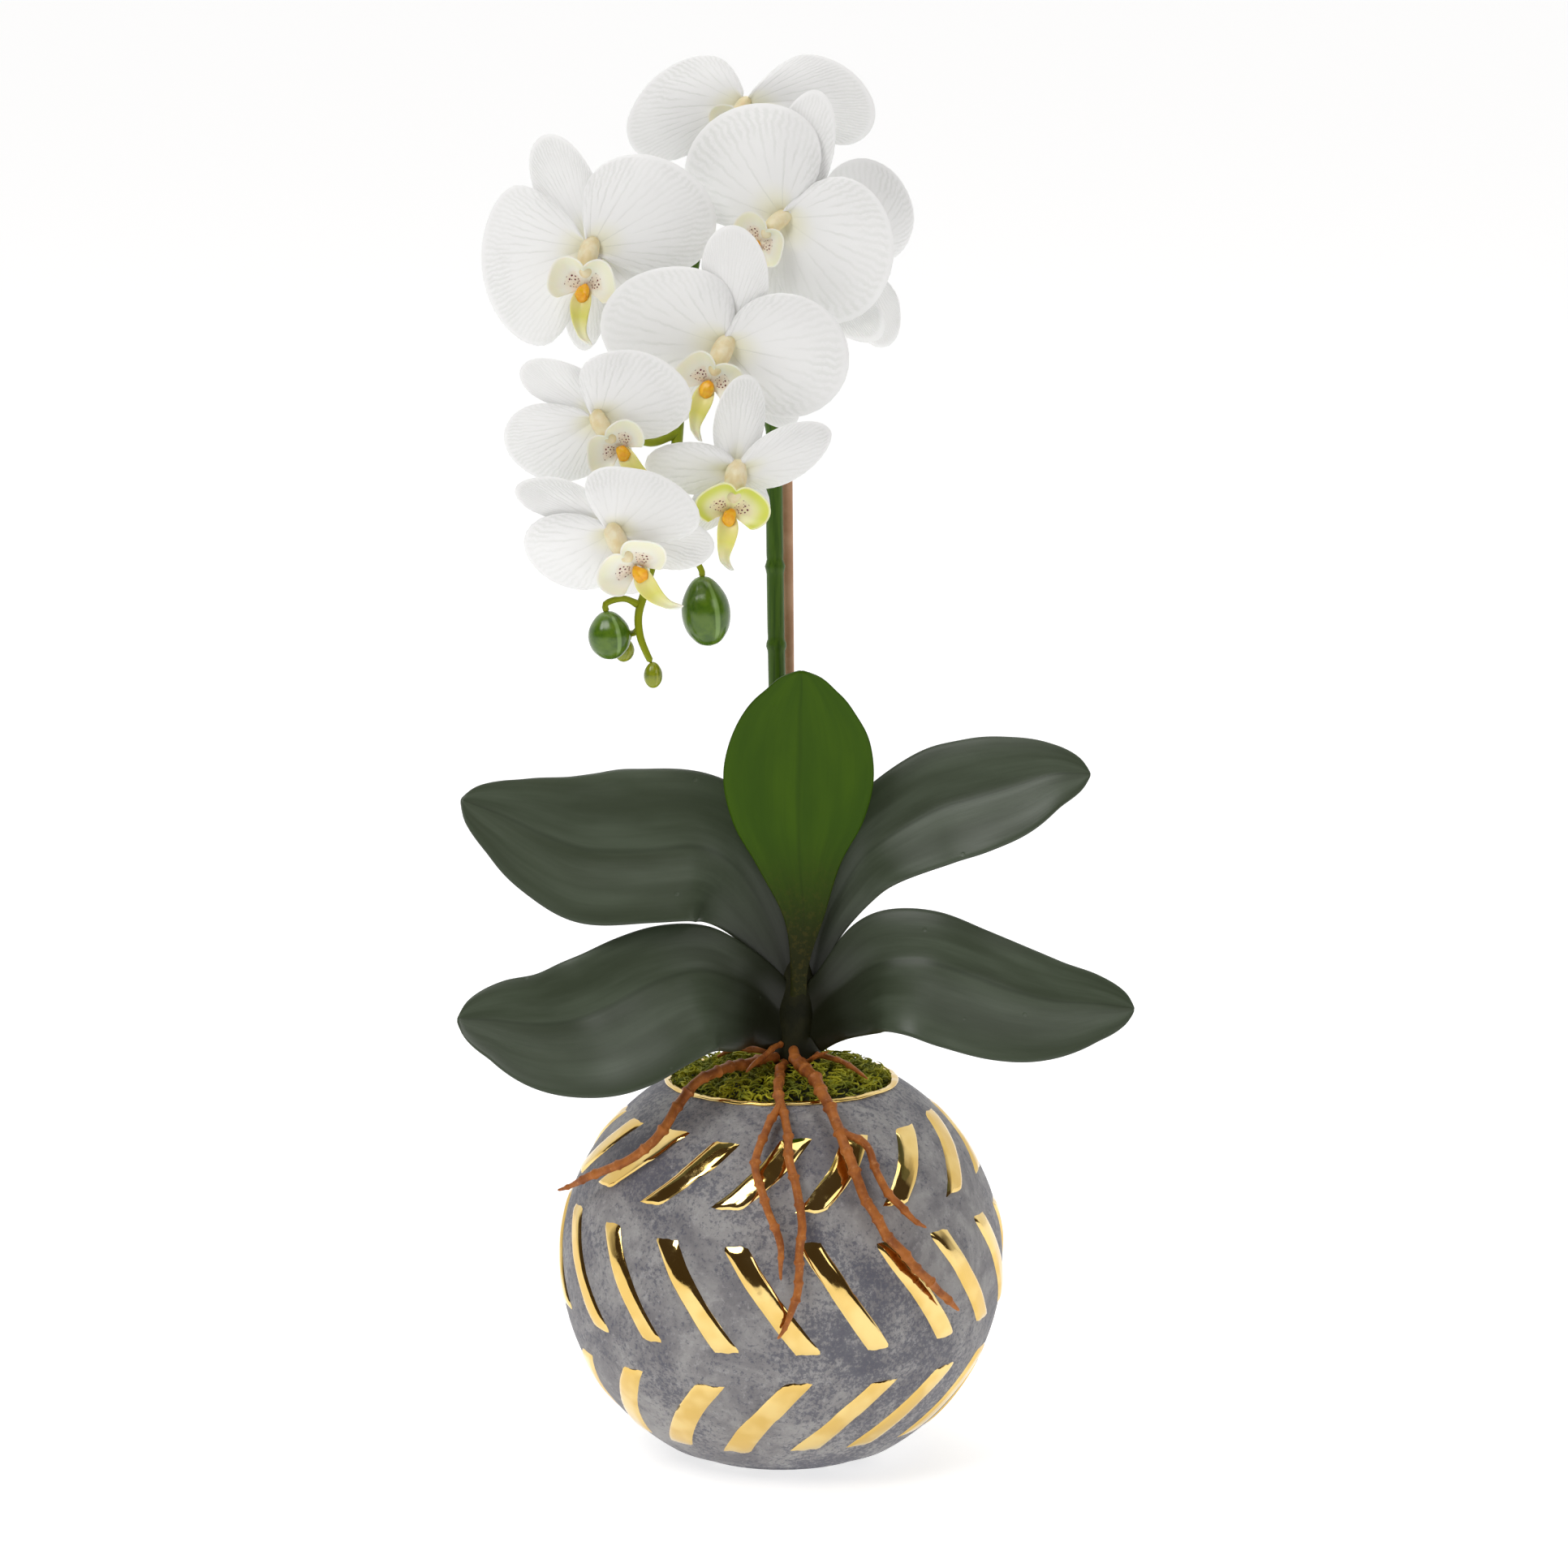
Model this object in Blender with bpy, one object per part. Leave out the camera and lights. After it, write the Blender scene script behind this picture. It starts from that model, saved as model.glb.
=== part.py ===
"""Potted moth orchid: one arching flower spike, five leaves and hanging roots in a round pot.

The pot stands on the plane z = 0, its axis is the Z axis and the flowers face -Y.
Tables are in millimetres and degrees. Meshes are in metres.
"""
import math

import bmesh
import bpy
from mathutils import Matrix, Vector

MM = 0.001
GAP = 0.3                      # clearance between neighbouring pieces

# Pot: two half ellipses that meet at the waist
POT_RADIUS = 80.0
POT_WAIST = 70.6               # height of the widest ring
POT_BELLY = 78.8               # height of the whole ellipse below the waist, cut off by the foot
POT_SHOULDER = 76.6            # the same above the waist, cut off by the mouth
POT_HEIGHT = 137.0
POT_WALL = 4.0
POT_FLOOR = 6.0
FOOT_ROUNDING = 4.0
POT_SEGMENTS = 44
POT_RINGS = 11

# Filling
MEDIUM_TOP = 129.0
MOSS_EDGE = 135.5
MOSS_CROWN = 140.5

# Flowers: lobes are ellipses in the plane of the flower, (x, y, half length, half width, turn)
PLATE = 0.8                    # thickness of petals and sepals
PETAL_BACK = 0.8               # how far the petals stand behind the flower's centre
SEPAL_BACK = 3.4
REFLEX = 3.0                   # how far a lobe bends back at REFLEX_AT from the centre
REFLEX_AT = 32.0
HUB = 6.0
FLOWERS = (
    dict(at=(-13, 20, 485), yaw=-12, pitch=8, roll=-105, size=0.8,
         petals=((-22.5, -1.5, 24.5, 16, 35), (26.5, 2, 21, 15, -28)),
         sepals=((0.5, -16.5, 16.5, 10, -88), (-14.5, -6.5, 17.5, 9, 161), (15.5, -6, 16.5, 8.5, -24))),
    dict(at=(0.5, -12, 447.5), yaw=-16, pitch=0, roll=-42, size=1.0,
         petals=((-12, 17.5, 27, 22, 20), (20, -10, 26.5, 19.5, 85)),
         sepals=((6, 23, 22, 11, 80), (-12, -15.5, 17, 9, -126), (19, -28.5, 19.5, 10.5, -46))),
    dict(at=(-66.5, -12, 437), yaw=-10, pitch=0, roll=-6, size=1.0,
         petals=((-21.5, -6.5, 29.5, 19.5, 97), (19.5, 11.5, 25, 21, -24)),
         sepals=((-10.5, 21.5, 19.5, 11, 118), (-3, -19, 19, 8, -96), (15, -14, 19.5, 9.5, -44))),
    dict(at=(-19.5, -42, 406), yaw=-6, pitch=-5, roll=-22, size=1.0,
         petals=((-19, 6.5, 27, 20.5, 11), (20.5, -4, 23.5, 22, -35)),
         sepals=((3, 23, 18, 12, 96), (-14, -15.5, 18, 9, -130), (12.5, -16, 17.5, 9, -52))),
    dict(at=(-62.5, -66, 383.5), yaw=-4, pitch=-10, roll=40, size=0.9,
         petals=((-15.5, -9.5, 18.5, 15, -5), (11.5, 8, 21.5, 15.5, -15)),
         sepals=((-13.5, 10.5, 15, 8.5, 163), (3.5, -13, 13.5, 7.5, -77), (14.5, 2, 14, 7.5, 11))),
    dict(at=(-16, -60, 364.5), yaw=8, pitch=-5, roll=-11, size=1.0,
         petals=((-15.5, 1, 17, 9.5, 174), (17.5, 5, 18.5, 9.5, 26)),
         sepals=((2, 17, 16.5, 9, 81), (-7, -11.5, 12.5, 7, -125), (6, -9.5, 11.5, 6, -60))),
    dict(at=(-56.5, -92, 347.5), yaw=-4, pitch=-12, roll=36, size=1.0,
         petals=((-14.5, -7.5, 18.5, 14.5, -12), (9, 9.5, 22, 12.5, -21)),
         sepals=((-18.5, 9.5, 16.5, 7.5, 168), (3.5, -13, 11.5, 7.5, -77), (17, -5, 17, 10, -12))),
    dict(at=(26, 32, 431), yaw=28, pitch=-4, roll=-30, size=0.85,
         petals=((6, 14.5, 21.5, 18, -47), (-8, -12.5, 20.5, 16.5, -57)),
         sepals=((-14, 8, 17, 8.5, 151), (12, -21, 16, 10, -62), (4, -16, 14.5, 9, -88))),
)
LIP = dict(at=(0, -14.5, 5.5), tilt=-20, hub=3.2, thickness=1.6,
           lobes=((0, -9, 9.5, 4.2, 90), (-6, 3, 6.5, 5, 145), (6, 3, 6.5, 5, 35)))
COLUMN = ((0, 1.5, 1, 2.2), (0, -0.5, 3.5, 3), (0, -3.5, 6.5, 3.2), (0, -7.5, 8.5, 2.6), (0, -9.5, 8.8, 1.2))

# Stems: (x, y, z, radius) along each one
CROWN = ((5, -3, 106, 8), (5, -3, 140, 8), (5, -3, 160, 8), (5, -3, 170, 7), (5, -3, 175, 4.5),
         (5, -3, 177, 1.5))
SPIKE = ((7, 9.5, 106, 3.3), (7, 9.5, 150, 3.3), (4.5, 8.5, 180, 3.3), (0.5, 6, 204, 3.2),
         (-1.5, 6, 279, 3.1), (-2.5, 8, 349, 3.0), (-2.5, 9, 408, 2.8), (-2.5, 9, 448, 2.6),
         (-8, 8, 467, 2.5), (-18, 7, 466, 2.4), (-27, 6, 449, 2.3), (-32, -3, 424, 2.2),
         (-34, -15, 401, 2.1), (-35.5, -22, 386, 2.1), (-36.5, -34, 370, 2.0), (-38, -49, 356, 1.9),
         (-42, -63, 342, 1.7),
         (-46.5, -73, 326, 1.5), (-49, -77, 317, 1.3), (-48.5, -78.5, 310, 1.2),
         (-46.5, -79.5, 304.5, 1.1), (-44.5, -80, 301.3, 1.0))
STAKE = ((3.5, 17.5, 106, 2), (3.5, 17.5, 150, 2), (2, 14.5, 348, 2))
# Flower stalks: where each leaves the spike and how it goes; it ends behind its flower
STALKS = (
    ((-2.5, 9, 432), (-10, 22, 443), (-16, 31, 457), (-16, 33, 470)),
    ((-2.5, 9, 438), (2, 0, 446)),
    ((-28.5, 4.5, 443), (-44, 5, 447), (-59, 1, 441)),
    ((-32.5, -6, 418), (-27, -22, 409)),
    ((-36.2, -31, 374), (-46, -41, 372), (-56, -50, 378)),
    ((-36.7, -37, 367), (-27, -44, 366), (-19, -49, 365.5)),
    ((-43, -65.5, 339), (-50, -76, 343)),
    ((-2.5, 8.5, 384), (3, 25, 391), (12, 40, 404), (20, 42, 420)),
)
STALK_RADIUS = 1.5
STALK_END = 5.2                # distance of a stalk's end behind its flower's centre

# Buds: centre, half height, radius, and the stalk's route from the spike
BUDS = (
    dict(at=(-59, -78, 310), half=8.5, radius=7.3, lean=(-0.1, 0, 1),
         stalk=((-48.5, -76, 320), (-54, -77, 322.5))),
    dict(at=(-26, -72, 317.5), half=12.3, radius=8.4, lean=(-0.12, 0.05, 1),
         stalk=((-42, -63, 343), (-34, -66, 341))),
    dict(at=(-54, -70, 303.5), half=4.2, radius=3.4, lean=(0.3, -0.3, 1),
         stalk=((-48.7, -78, 312), (-51, -74, 310))),
    dict(at=(-44, -80, 296.5), half=4.4, radius=2.2, lean=(0, 0, 1), stalk=None),
)
BUD_STALK_RADIUS = 1.1

# Leaves: (x, y, z, half width) along the midrib, and the way the upper face looks
LEAF_THICKNESS = 1.2
LEAF_CHANNEL = 0.22            # rise of the edges over the midrib, to the half width
LEAVES = (
    dict(face=(0, 0.96, 0.26),
         midrib=((6.5, -10, 180, 2), (8, -13, 199, 7), (6.5, -17, 218, 14.5), (6, -20.5, 233, 23),
                 (6, -25, 249, 26.5), (6.5, -29.5, 264, 24.5), (6.5, -33.5, 276, 18.5),
                 (7, -36.5, 285, 11.5), (7, -38.5, 291, 2))),
    dict(face=(0, -0.85, 0.5),
         midrib=((1.5, -4.5, 180, 3), (-6, -6, 200, 10), (-17, -11, 217, 23), (-30, -14, 224, 28),
                 (-49.5, -17, 223, 30), (-68.5, -20, 224, 28), (-83, -20, 229, 23),
                 (-97.5, -22, 236.5, 15), (-113.5, -24, 243, 2.5))),
    dict(face=(0, -0.85, 0.5),
         midrib=((11.5, -3.5, 180, 3), (15.5, -4, 195, 9), (24, -10, 212, 16), (33.5, -14, 224, 22),
                 (54.5, -15, 237, 27), (69, -17, 242, 25), (83, -18, 246.5, 22), (96, -19, 251, 15),
                 (109.5, -20, 251.5, 2.5))),
    dict(face=(0, -0.85, 0.5),
         midrib=((-6.2, -10.2, 154, 6), (-9.5, -14, 168, 10), (-16.5, -20, 178, 13),
                 (-26.5, -25, 182.5, 19), (-37.5, -30, 181, 28), (-49, -34, 177, 31.5),
                 (-62, -38, 170.5, 33), (-73, -40, 165.5, 29), (-86.5, -42, 165, 24),
                 (-102, -42, 167, 18), (-114, -42, 167.5, 4))),
    dict(face=(0, -0.85, 0.5),
         midrib=((15.5, -11, 155, 6), (19, -13, 167, 10), (24, -16, 175, 15), (32, -20, 181.5, 16),
                 (40, -24, 184, 21), (52.5, -28, 185, 26), (64, -31, 182, 25.5), (83, -35, 175, 24.5),
                 (96, -37, 173, 21.5), (112, -38, 172.5, 16.5), (124.5, -38, 170.5, 4))),
)

# Aerial roots: (x, y, z, radius) from the crown outwards; the second list is a fork of the first
ROOTS = (
    (((-2, -8.5, 146, 2.2), (-11, -18, 146.5, 2.2), (-21, -30, 146.5, 2.1), (-30, -38.5, 143.5, 2.1),
      (-36.5, -43.5, 136, 2.1), (-43.5, -47.5, 127, 2), (-51.5, -48, 119.5, 1.9), (-61, -43.5, 113, 1.8),
      (-70, -36.5, 108.5, 1.6), (-80, -29.5, 102.5, 0.8)),),
    (((1, -11, 144.5, 1.9), (-1, -22, 144, 1.9), (-1, -41, 141.5, 1.9), (1, -53.5, 134, 1.8),
      (3.5, -67, 122, 1.8), (6.5, -77, 106.5, 1.8), (6.5, -82.5, 90, 1.7), (4, -85, 74, 1.5),
      (-1, -85, 62.5, 0.7)),
     ((-0.5, -48, 138, 1.7), (-8, -63, 126.5, 1.7), (-9, -70, 120, 1.7), (-5.5, -77.5, 109.5, 1.6),
      (-0.5, -82, 97, 1.5), (0, -84.5, 83.5, 0.7))),
    (((5, -11.8, 149.5, 2.2), (5, -18, 147, 2.2), (9, -28, 146, 2.3), (14, -40.5, 142.5, 2.3),
      (21, -55.5, 130, 2.2), (27.5, -67, 114, 2.1), (36, -72, 98.5, 2), (48, -69.5, 83, 1.9),
      (58, -62.5, 71.5, 1.6), (62.5, -58, 66, 0.8)),
     ((21, -55.5, 130, 1.6), (30, -58, 125, 1.6), (35, -65, 114, 1.6), (43, -66.5, 104, 1.5),
      (51, -64, 97, 0.7))),
    (((8.5, -11.5, 145, 0.9), (11, -18, 148, 0.9), (13, -24, 150, 0.8), (17, -29, 153, 0.4)),),
    (((13.5, -6, 146, 1.1), (20, -13, 146, 1.1), (26, -21, 145, 1), (31, -29, 143.5, 0.5)),),
    (((-0.5, -10.2, 150.5, 1.2), (-5, -18, 150.5, 1.2), (-10, -26, 148.5, 1.1), (-13, -34, 146.5, 0.5)),),
    (((-3.8, -3, 147, 1.5), (-10, 0, 147.5, 1.5), (-18, 6, 146, 1.2), (-24, 8, 143, 0.6)),),
)

for old in list(bpy.data.objects):
    bpy.data.objects.remove(old)


# Materials and objects

def finish(name, color, roughness, metallic=0.0):
    material = bpy.data.materials.new(name)
    material.use_nodes = True
    shader = material.node_tree.nodes["Principled BSDF"]
    shader.inputs["Base Color"].default_value = (*color, 1.0)
    shader.inputs["Roughness"].default_value = roughness
    shader.inputs["Metallic"].default_value = metallic
    return material


def place(name, mesh, parent=None):
    piece = bpy.data.objects.new(name, mesh)
    piece.parent = parent
    bpy.context.collection.objects.link(piece)
    return piece


def to_mesh(name, shape, material):
    mesh = bpy.data.meshes.new(name)
    bmesh.ops.recalc_face_normals(shape, faces=shape.faces)
    shape.to_mesh(mesh)
    shape.free()
    mesh.shade_smooth()
    mesh.set_sharp_from_angle(angle=math.radians(40))
    if material:
        mesh.materials.append(material)
    return mesh


def boolean(target, operand, operation):
    operand.hide_render = True
    operand.display_type = 'WIRE'
    step = target.modifiers.new(operand.name, 'BOOLEAN')
    step.operation = operation
    step.solver = 'EXACT'
    step.object = operand


# Shapes

def smooth(route, steps):
    """Points of a Catmull-Rom curve through the route, in steps to each stretch."""
    knots = [Vector(point) for point in route]
    knots = [2 * knots[0] - knots[1], *knots, 2 * knots[-1] - knots[-2]]
    points = []
    for before, start, end, after in zip(knots, knots[1:], knots[2:], knots[3:]):
        for step in range(steps):
            t = step / steps
            points.append(0.5 * (2 * start + (end - before) * t
                                 + (2 * before - 5 * start + 4 * end - after) * t ** 2
                                 + (3 * start - before - 3 * end + after) * t ** 3))
    return points + [knots[-2]]


def directions(centres):
    last = len(centres) - 1
    return [(centres[min(i + 1, last)] - centres[max(i - 1, 0)]).normalized()
            for i in range(len(centres))]


def tube(shape, stations, sides):
    """A closed round bar through stations of (x, y, z, radius)."""
    centres = [station.xyz for station in stations]
    headings = directions(centres)
    side = headings[0].orthogonal().normalized()
    rings = []
    for station, centre, heading in zip(stations, centres, headings):
        side = (side - heading * side.dot(heading)).normalized()
        other = heading.cross(side)
        ring = []
        for k in range(sides):
            angle = 2 * math.pi * k / sides
            rim = centre + (side * math.cos(angle) + other * math.sin(angle)) * station.w
            ring.append(shape.verts.new(rim * MM))
        rings.append(ring)
    for low, high in zip(rings, rings[1:]):
        for k in range(sides):
            after = (k + 1) % sides
            shape.faces.new((low[k], low[after], high[after], high[k]))
    shape.faces.new(rings[0][::-1])
    shape.faces.new(rings[-1])


def bar_of(name, route, sides, steps, material=None):
    shape = bmesh.new()
    tube(shape, smooth(route, steps), sides)
    return place(name, to_mesh(name, shape, material))


def turned(name, profile, segments, material):
    """A solid of revolution; the profile starts and ends on the axis."""
    shape = bmesh.new()
    verts = [shape.verts.new((radius * MM, 0, height * MM)) for radius, height in profile]
    edges = [shape.edges.new(pair) for pair in zip(verts, verts[1:])]
    bmesh.ops.spin(shape, geom=verts + edges, axis=(0, 0, 1), cent=(0, 0, 0),
                   steps=segments, angle=2 * math.pi)
    bmesh.ops.remove_doubles(shape, verts=shape.verts, dist=0.00001)
    return place(name, to_mesh(name, shape, material))


def reach(lobe, angle):
    """How far a lobe, an ellipse, reaches from the centre in one direction."""
    x, y, length, width, turn = lobe
    turn = math.radians(turn)
    angle -= turn
    ray = Vector((math.cos(angle) / length, math.sin(angle) / width))
    start = Matrix.Rotation(-turn, 2) @ Vector((x, y))
    start = Vector((start.x / length, start.y / width))
    inside = ray.dot(start) ** 2 - ray.length_squared * (start.length_squared - 1)
    return (ray.dot(start) + math.sqrt(inside)) / ray.length_squared if inside > 0 else 0


def star_plate(name, lobes, hub, back, thickness, sides, rings, material):
    """A thin plate of lobes round a hub in the XY plane, its outer parts bent back."""
    shape = bmesh.new()

    def layer(drop):
        middle = shape.verts.new((0, 0, -(back + drop) * MM))
        circles = []
        for ring in range(1, rings + 1):
            circle = []
            for k in range(sides):
                angle = 2 * math.pi * k / sides
                radius = max(hub, *(reach(lobe, angle) for lobe in lobes)) * ring / rings
                depth = back + drop + REFLEX * (radius / REFLEX_AT) ** 2
                circle.append(shape.verts.new((radius * math.cos(angle) * MM,
                                               radius * math.sin(angle) * MM, -depth * MM)))
            circles.append(circle)
        return middle, circles

    front, back_side = layer(0), layer(thickness)
    for middle, circles in (front, back_side):
        for k in range(sides):
            after = (k + 1) % sides
            shape.faces.new((middle, circles[0][k], circles[0][after]))
            for inner, outer in zip(circles, circles[1:]):
                shape.faces.new((inner[k], outer[k], outer[after], inner[after]))
    for k in range(sides):
        after = (k + 1) % sides
        shape.faces.new((front[1][-1][k], back_side[1][-1][k], back_side[1][-1][after],
                         front[1][-1][after]))
    return to_mesh(name, shape, material)


def leaf(name, midrib, face, material):
    """A thick blade with raised edges round a midrib of (x, y, z, half width)."""
    shape = bmesh.new()
    stations = [Vector(station) for station in midrib]
    headings = directions([station.xyz for station in stations])
    across = (-1, -0.55, 0, 0.55, 1)
    front, back = [], []
    for station, heading in zip(stations, headings):
        side = Vector(face).cross(heading).normalized()
        up = heading.cross(side)
        for row, level in ((front, LEAF_THICKNESS / 2), (back, -LEAF_THICKNESS / 2)):
            row.append([shape.verts.new((station.xyz + side * s * station.w
                                         + up * (level + LEAF_CHANNEL * abs(s) * station.w)) * MM)
                        for s in across])
    for sheet in (front, back):
        for one, two in zip(sheet, sheet[1:]):
            for i in range(len(across) - 1):
                shape.faces.new((one[i], one[i + 1], two[i + 1], two[i]))
    for edge in (0, -1):
        for i in range(len(front) - 1):
            shape.faces.new((front[i][edge], front[i + 1][edge], back[i + 1][edge], back[i][edge]))
        for i in range(len(across) - 1):
            shape.faces.new((front[edge][i], front[edge][i + 1], back[edge][i + 1], back[edge][i]))
    return place(name, to_mesh(name, shape, material))


# Pot and filling

def pot_radius(height):
    reach_of_half = POT_SHOULDER if height > POT_WAIST else POT_BELLY
    return POT_RADIUS * math.sqrt(1 - ((height - POT_WAIST) / reach_of_half) ** 2)


def wall_heights(low, high):
    """Heights at even turns round the pot's side, so that its rings are evenly spaced."""
    first = math.asin((low - POT_WAIST) / POT_BELLY)
    last = math.asin((high - POT_WAIST) / POT_SHOULDER)
    turns = [first + (last - first) * ring / POT_RINGS for ring in range(POT_RINGS + 1)]
    return [POT_WAIST + (POT_SHOULDER if turn > 0 else POT_BELLY) * math.sin(turn) for turn in turns]


def make_pot():
    side = [(pot_radius(height), height) for height in wall_heights(FOOT_ROUNDING, POT_HEIGHT)]
    foot = pot_radius(0) - FOOT_ROUNDING
    inside = [(radius - POT_WALL, height) for radius, height in reversed(side) if height > POT_FLOOR]
    profile = [(0, 0), (foot, 0), (foot + 0.7 * FOOT_ROUNDING, 0.3 * FOOT_ROUNDING), *side, *inside,
               (inside[-1][0] - 4, POT_FLOOR), (0, POT_FLOOR)]
    turned("pot", profile, POT_SEGMENTS, finish("stone_glaze", (0.17, 0.16, 0.18), 0.6))


def stem_sockets():
    """The holes that the crown, the spike and the stake stand in."""
    for name, route in (("crown", CROWN), ("spike", SPIKE), ("stake", STAKE)):
        x, y, z, radius = route[0]
        hole = ((x, y, z - GAP, radius + GAP), (x, y, MOSS_CROWN + 10, radius + GAP + 0.1))
        yield bar_of(name + "_socket", hole, 12, 1)


def make_filling():
    step = GAP * 1.2
    side = [(pot_radius(height) - POT_WALL - step, height)
            for height in wall_heights(FOOT_ROUNDING, POT_HEIGHT)
            if POT_FLOOR + 3 < height < MEDIUM_TOP]
    top = pot_radius(MEDIUM_TOP) - POT_WALL - step
    medium = turned("potting_medium",
                    [(0, POT_FLOOR + step), (side[0][0] - 6, POT_FLOOR + step), *side,
                     (top, MEDIUM_TOP), (0, MEDIUM_TOP)],
                    32, finish("foam", (0.12, 0.16, 0.08), 0.95))
    edge = pot_radius(POT_HEIGHT) - POT_WALL - step
    moss = turned("moss",
                  [(0, MEDIUM_TOP + GAP), (edge - 0.5, MEDIUM_TOP + GAP), (edge, MOSS_EDGE),
                   (edge * 0.66, MOSS_EDGE + 0.6 * (MOSS_CROWN - MOSS_EDGE)), (edge * 0.33, MOSS_CROWN),
                   (0, MOSS_CROWN)],
                  28, finish("moss_strands", (0.3, 0.32, 0.06), 0.9))
    for socket in stem_sockets():
        boolean(medium, socket, 'DIFFERENCE')
        boolean(moss, socket, 'DIFFERENCE')


# Plant

def make_flower(number, flower, parts):
    bloom = bpy.data.objects.new("flower_%d_place" % number, None)
    bpy.context.collection.objects.link(bloom)
    bloom.location = Vector(flower["at"]) * MM
    bloom.rotation_euler = (math.radians(90 - flower["pitch"]), 0, math.radians(flower["yaw"]))
    name = "flower_%d_" % number
    for part, lobes, back in (("sepals", flower["sepals"], SEPAL_BACK),
                              ("petals", flower["petals"], PETAL_BACK)):
        plate = star_plate(name + part, lobes, HUB, back, PLATE, 34, 3 if part == "petals" else 2,
                           parts["tepal"])
        place(name + part, plate, bloom)
    turn = math.radians(flower["roll"])
    for part in ("lip", "column"):
        piece = place(name + part, parts[part], bloom)
        piece.rotation_euler = (0, 0, turn)
        piece.scale = (flower["size"],) * 3
    lip = bpy.data.objects[name + "lip"]
    lip.location = Matrix.Rotation(turn, 3, 'Z') @ (Vector(LIP["at"]) * MM * flower["size"])
    lip.rotation_euler = (Matrix.Rotation(turn, 3, 'Z')
                          @ Matrix.Rotation(math.radians(LIP["tilt"]), 3, 'X')).to_euler()


def flower_back(flower, distance):
    yaw, pitch = math.radians(flower["yaw"]), math.radians(flower["pitch"])
    ahead = Vector((math.sin(yaw) * math.cos(pitch), -math.cos(yaw) * math.cos(pitch), math.sin(pitch)))
    return Vector(flower["at"]) - ahead * distance


def make_flowers():
    column = bmesh.new()
    tube(column, smooth(COLUMN, 1), 8)
    parts = dict(tepal=finish("white_tepal", (0.9, 0.9, 0.87), 0.5),
                 lip=star_plate("lip", LIP["lobes"], LIP["hub"], 0, LIP["thickness"], 20, 2,
                                finish("lip_petal", (0.8, 0.75, 0.3), 0.5)),
                 column=to_mesh("column", column, finish("column_cream", (0.9, 0.85, 0.5), 0.4)))
    for number, flower in enumerate(FLOWERS, 1):
        make_flower(number, flower, parts)


def make_spike():
    green = finish("stem_green", (0.12, 0.2, 0.05), 0.45)
    spike = bar_of("flower_spike", SPIKE, 8, 2, green)
    for number, (flower, route) in enumerate(zip(FLOWERS, STALKS), 1):
        end = flower_back(flower, STALK_END)
        run_in = flower_back(flower, STALK_END + 4)
        points = [(*point, STALK_RADIUS) for point in (*route, run_in, end)]
        boolean(spike, bar_of("stalk_%d" % number, points, 6, 2, green), 'UNION')
    bud_green = finish("bud_green", (0.3, 0.38, 0.1), 0.35)
    for number, bud in enumerate(BUDS, 1):
        centre, lean = Vector(bud["at"]), Vector(bud["lean"]).normalized()
        tips = [(*(centre + lean * bud["half"] * share), bud["radius"] * width)
                for share, width in ((-1, 0.12), (-0.85, 0.5), (-0.5, 0.86), (-0.05, 1), (0.4, 0.86),
                                     (0.75, 0.52), (1, 0.14))]
        bar_of("bud_%d" % number, tips, 10, 1, bud_green)
        if bud["stalk"]:
            above, top = (centre + lean * (bud["half"] + rise) for rise in (2.5, 2 * GAP))
            points = [(*point, BUD_STALK_RADIUS) for point in (*bud["stalk"], above, top)]
            boolean(spike, bar_of("bud_stalk_%d" % number, points, 6, 2, green), 'UNION')


def make_plant():
    bar_of("crown", CROWN, 12, 1, finish("crown_green", (0.08, 0.09, 0.03), 0.6))
    make_spike()
    make_flowers()
    bar_of("support_stake", STAKE, 8, 1, finish("stake_wood", (0.5, 0.33, 0.2), 0.7))
    green = finish("leaf_green", (0.04, 0.07, 0.035), 0.4)
    for number, blade in enumerate(LEAVES, 1):
        leaf("leaf_%d" % number, blade["midrib"], blade["face"], green)
    brown = finish("root_brown", (0.35, 0.16, 0.05), 0.5)
    for number, routes in enumerate(ROOTS, 1):
        root = bar_of("root_%d" % number, routes[0], 6, 2, brown)
        for fork in routes[1:]:
            boolean(root, bar_of("root_%d_fork" % number, fork, 6, 2, brown), 'UNION')


make_pot()
make_filling()
make_plant()
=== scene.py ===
import math
import random

import bpy
from mathutils import Matrix, Vector, noise


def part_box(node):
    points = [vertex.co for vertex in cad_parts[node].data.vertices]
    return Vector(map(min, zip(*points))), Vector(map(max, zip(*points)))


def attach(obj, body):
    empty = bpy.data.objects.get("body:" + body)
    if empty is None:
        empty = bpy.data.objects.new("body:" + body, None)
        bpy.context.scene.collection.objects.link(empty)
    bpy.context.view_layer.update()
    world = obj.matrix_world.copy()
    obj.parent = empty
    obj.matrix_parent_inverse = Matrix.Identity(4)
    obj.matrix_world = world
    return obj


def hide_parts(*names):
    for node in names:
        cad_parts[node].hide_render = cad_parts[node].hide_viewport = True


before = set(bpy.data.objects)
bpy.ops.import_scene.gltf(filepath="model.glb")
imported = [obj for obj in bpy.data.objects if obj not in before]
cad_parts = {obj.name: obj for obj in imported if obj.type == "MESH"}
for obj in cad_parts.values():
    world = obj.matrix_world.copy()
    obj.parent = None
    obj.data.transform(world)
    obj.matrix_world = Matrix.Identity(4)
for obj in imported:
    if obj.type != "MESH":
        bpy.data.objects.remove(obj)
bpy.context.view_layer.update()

mm = 0.001
noise.seed_set(5)                                # or noise_vector differs from run to run


def deselectAll():
    if bpy.context.object and bpy.context.object.mode != "OBJECT":
        bpy.ops.object.mode_set(mode="OBJECT")
    bpy.ops.object.select_all(action="DESELECT")


def activate(piece):
    deselectAll()
    piece.select_set(True)
    bpy.context.view_layer.objects.active = piece
    return piece


def blendStep(low, high, value):                 # 0 below low, 1 above high, smooth between
    share = min(max((value - low) / (high - low), 0), 1)
    return share * share * (3 - 2 * share)


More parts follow.
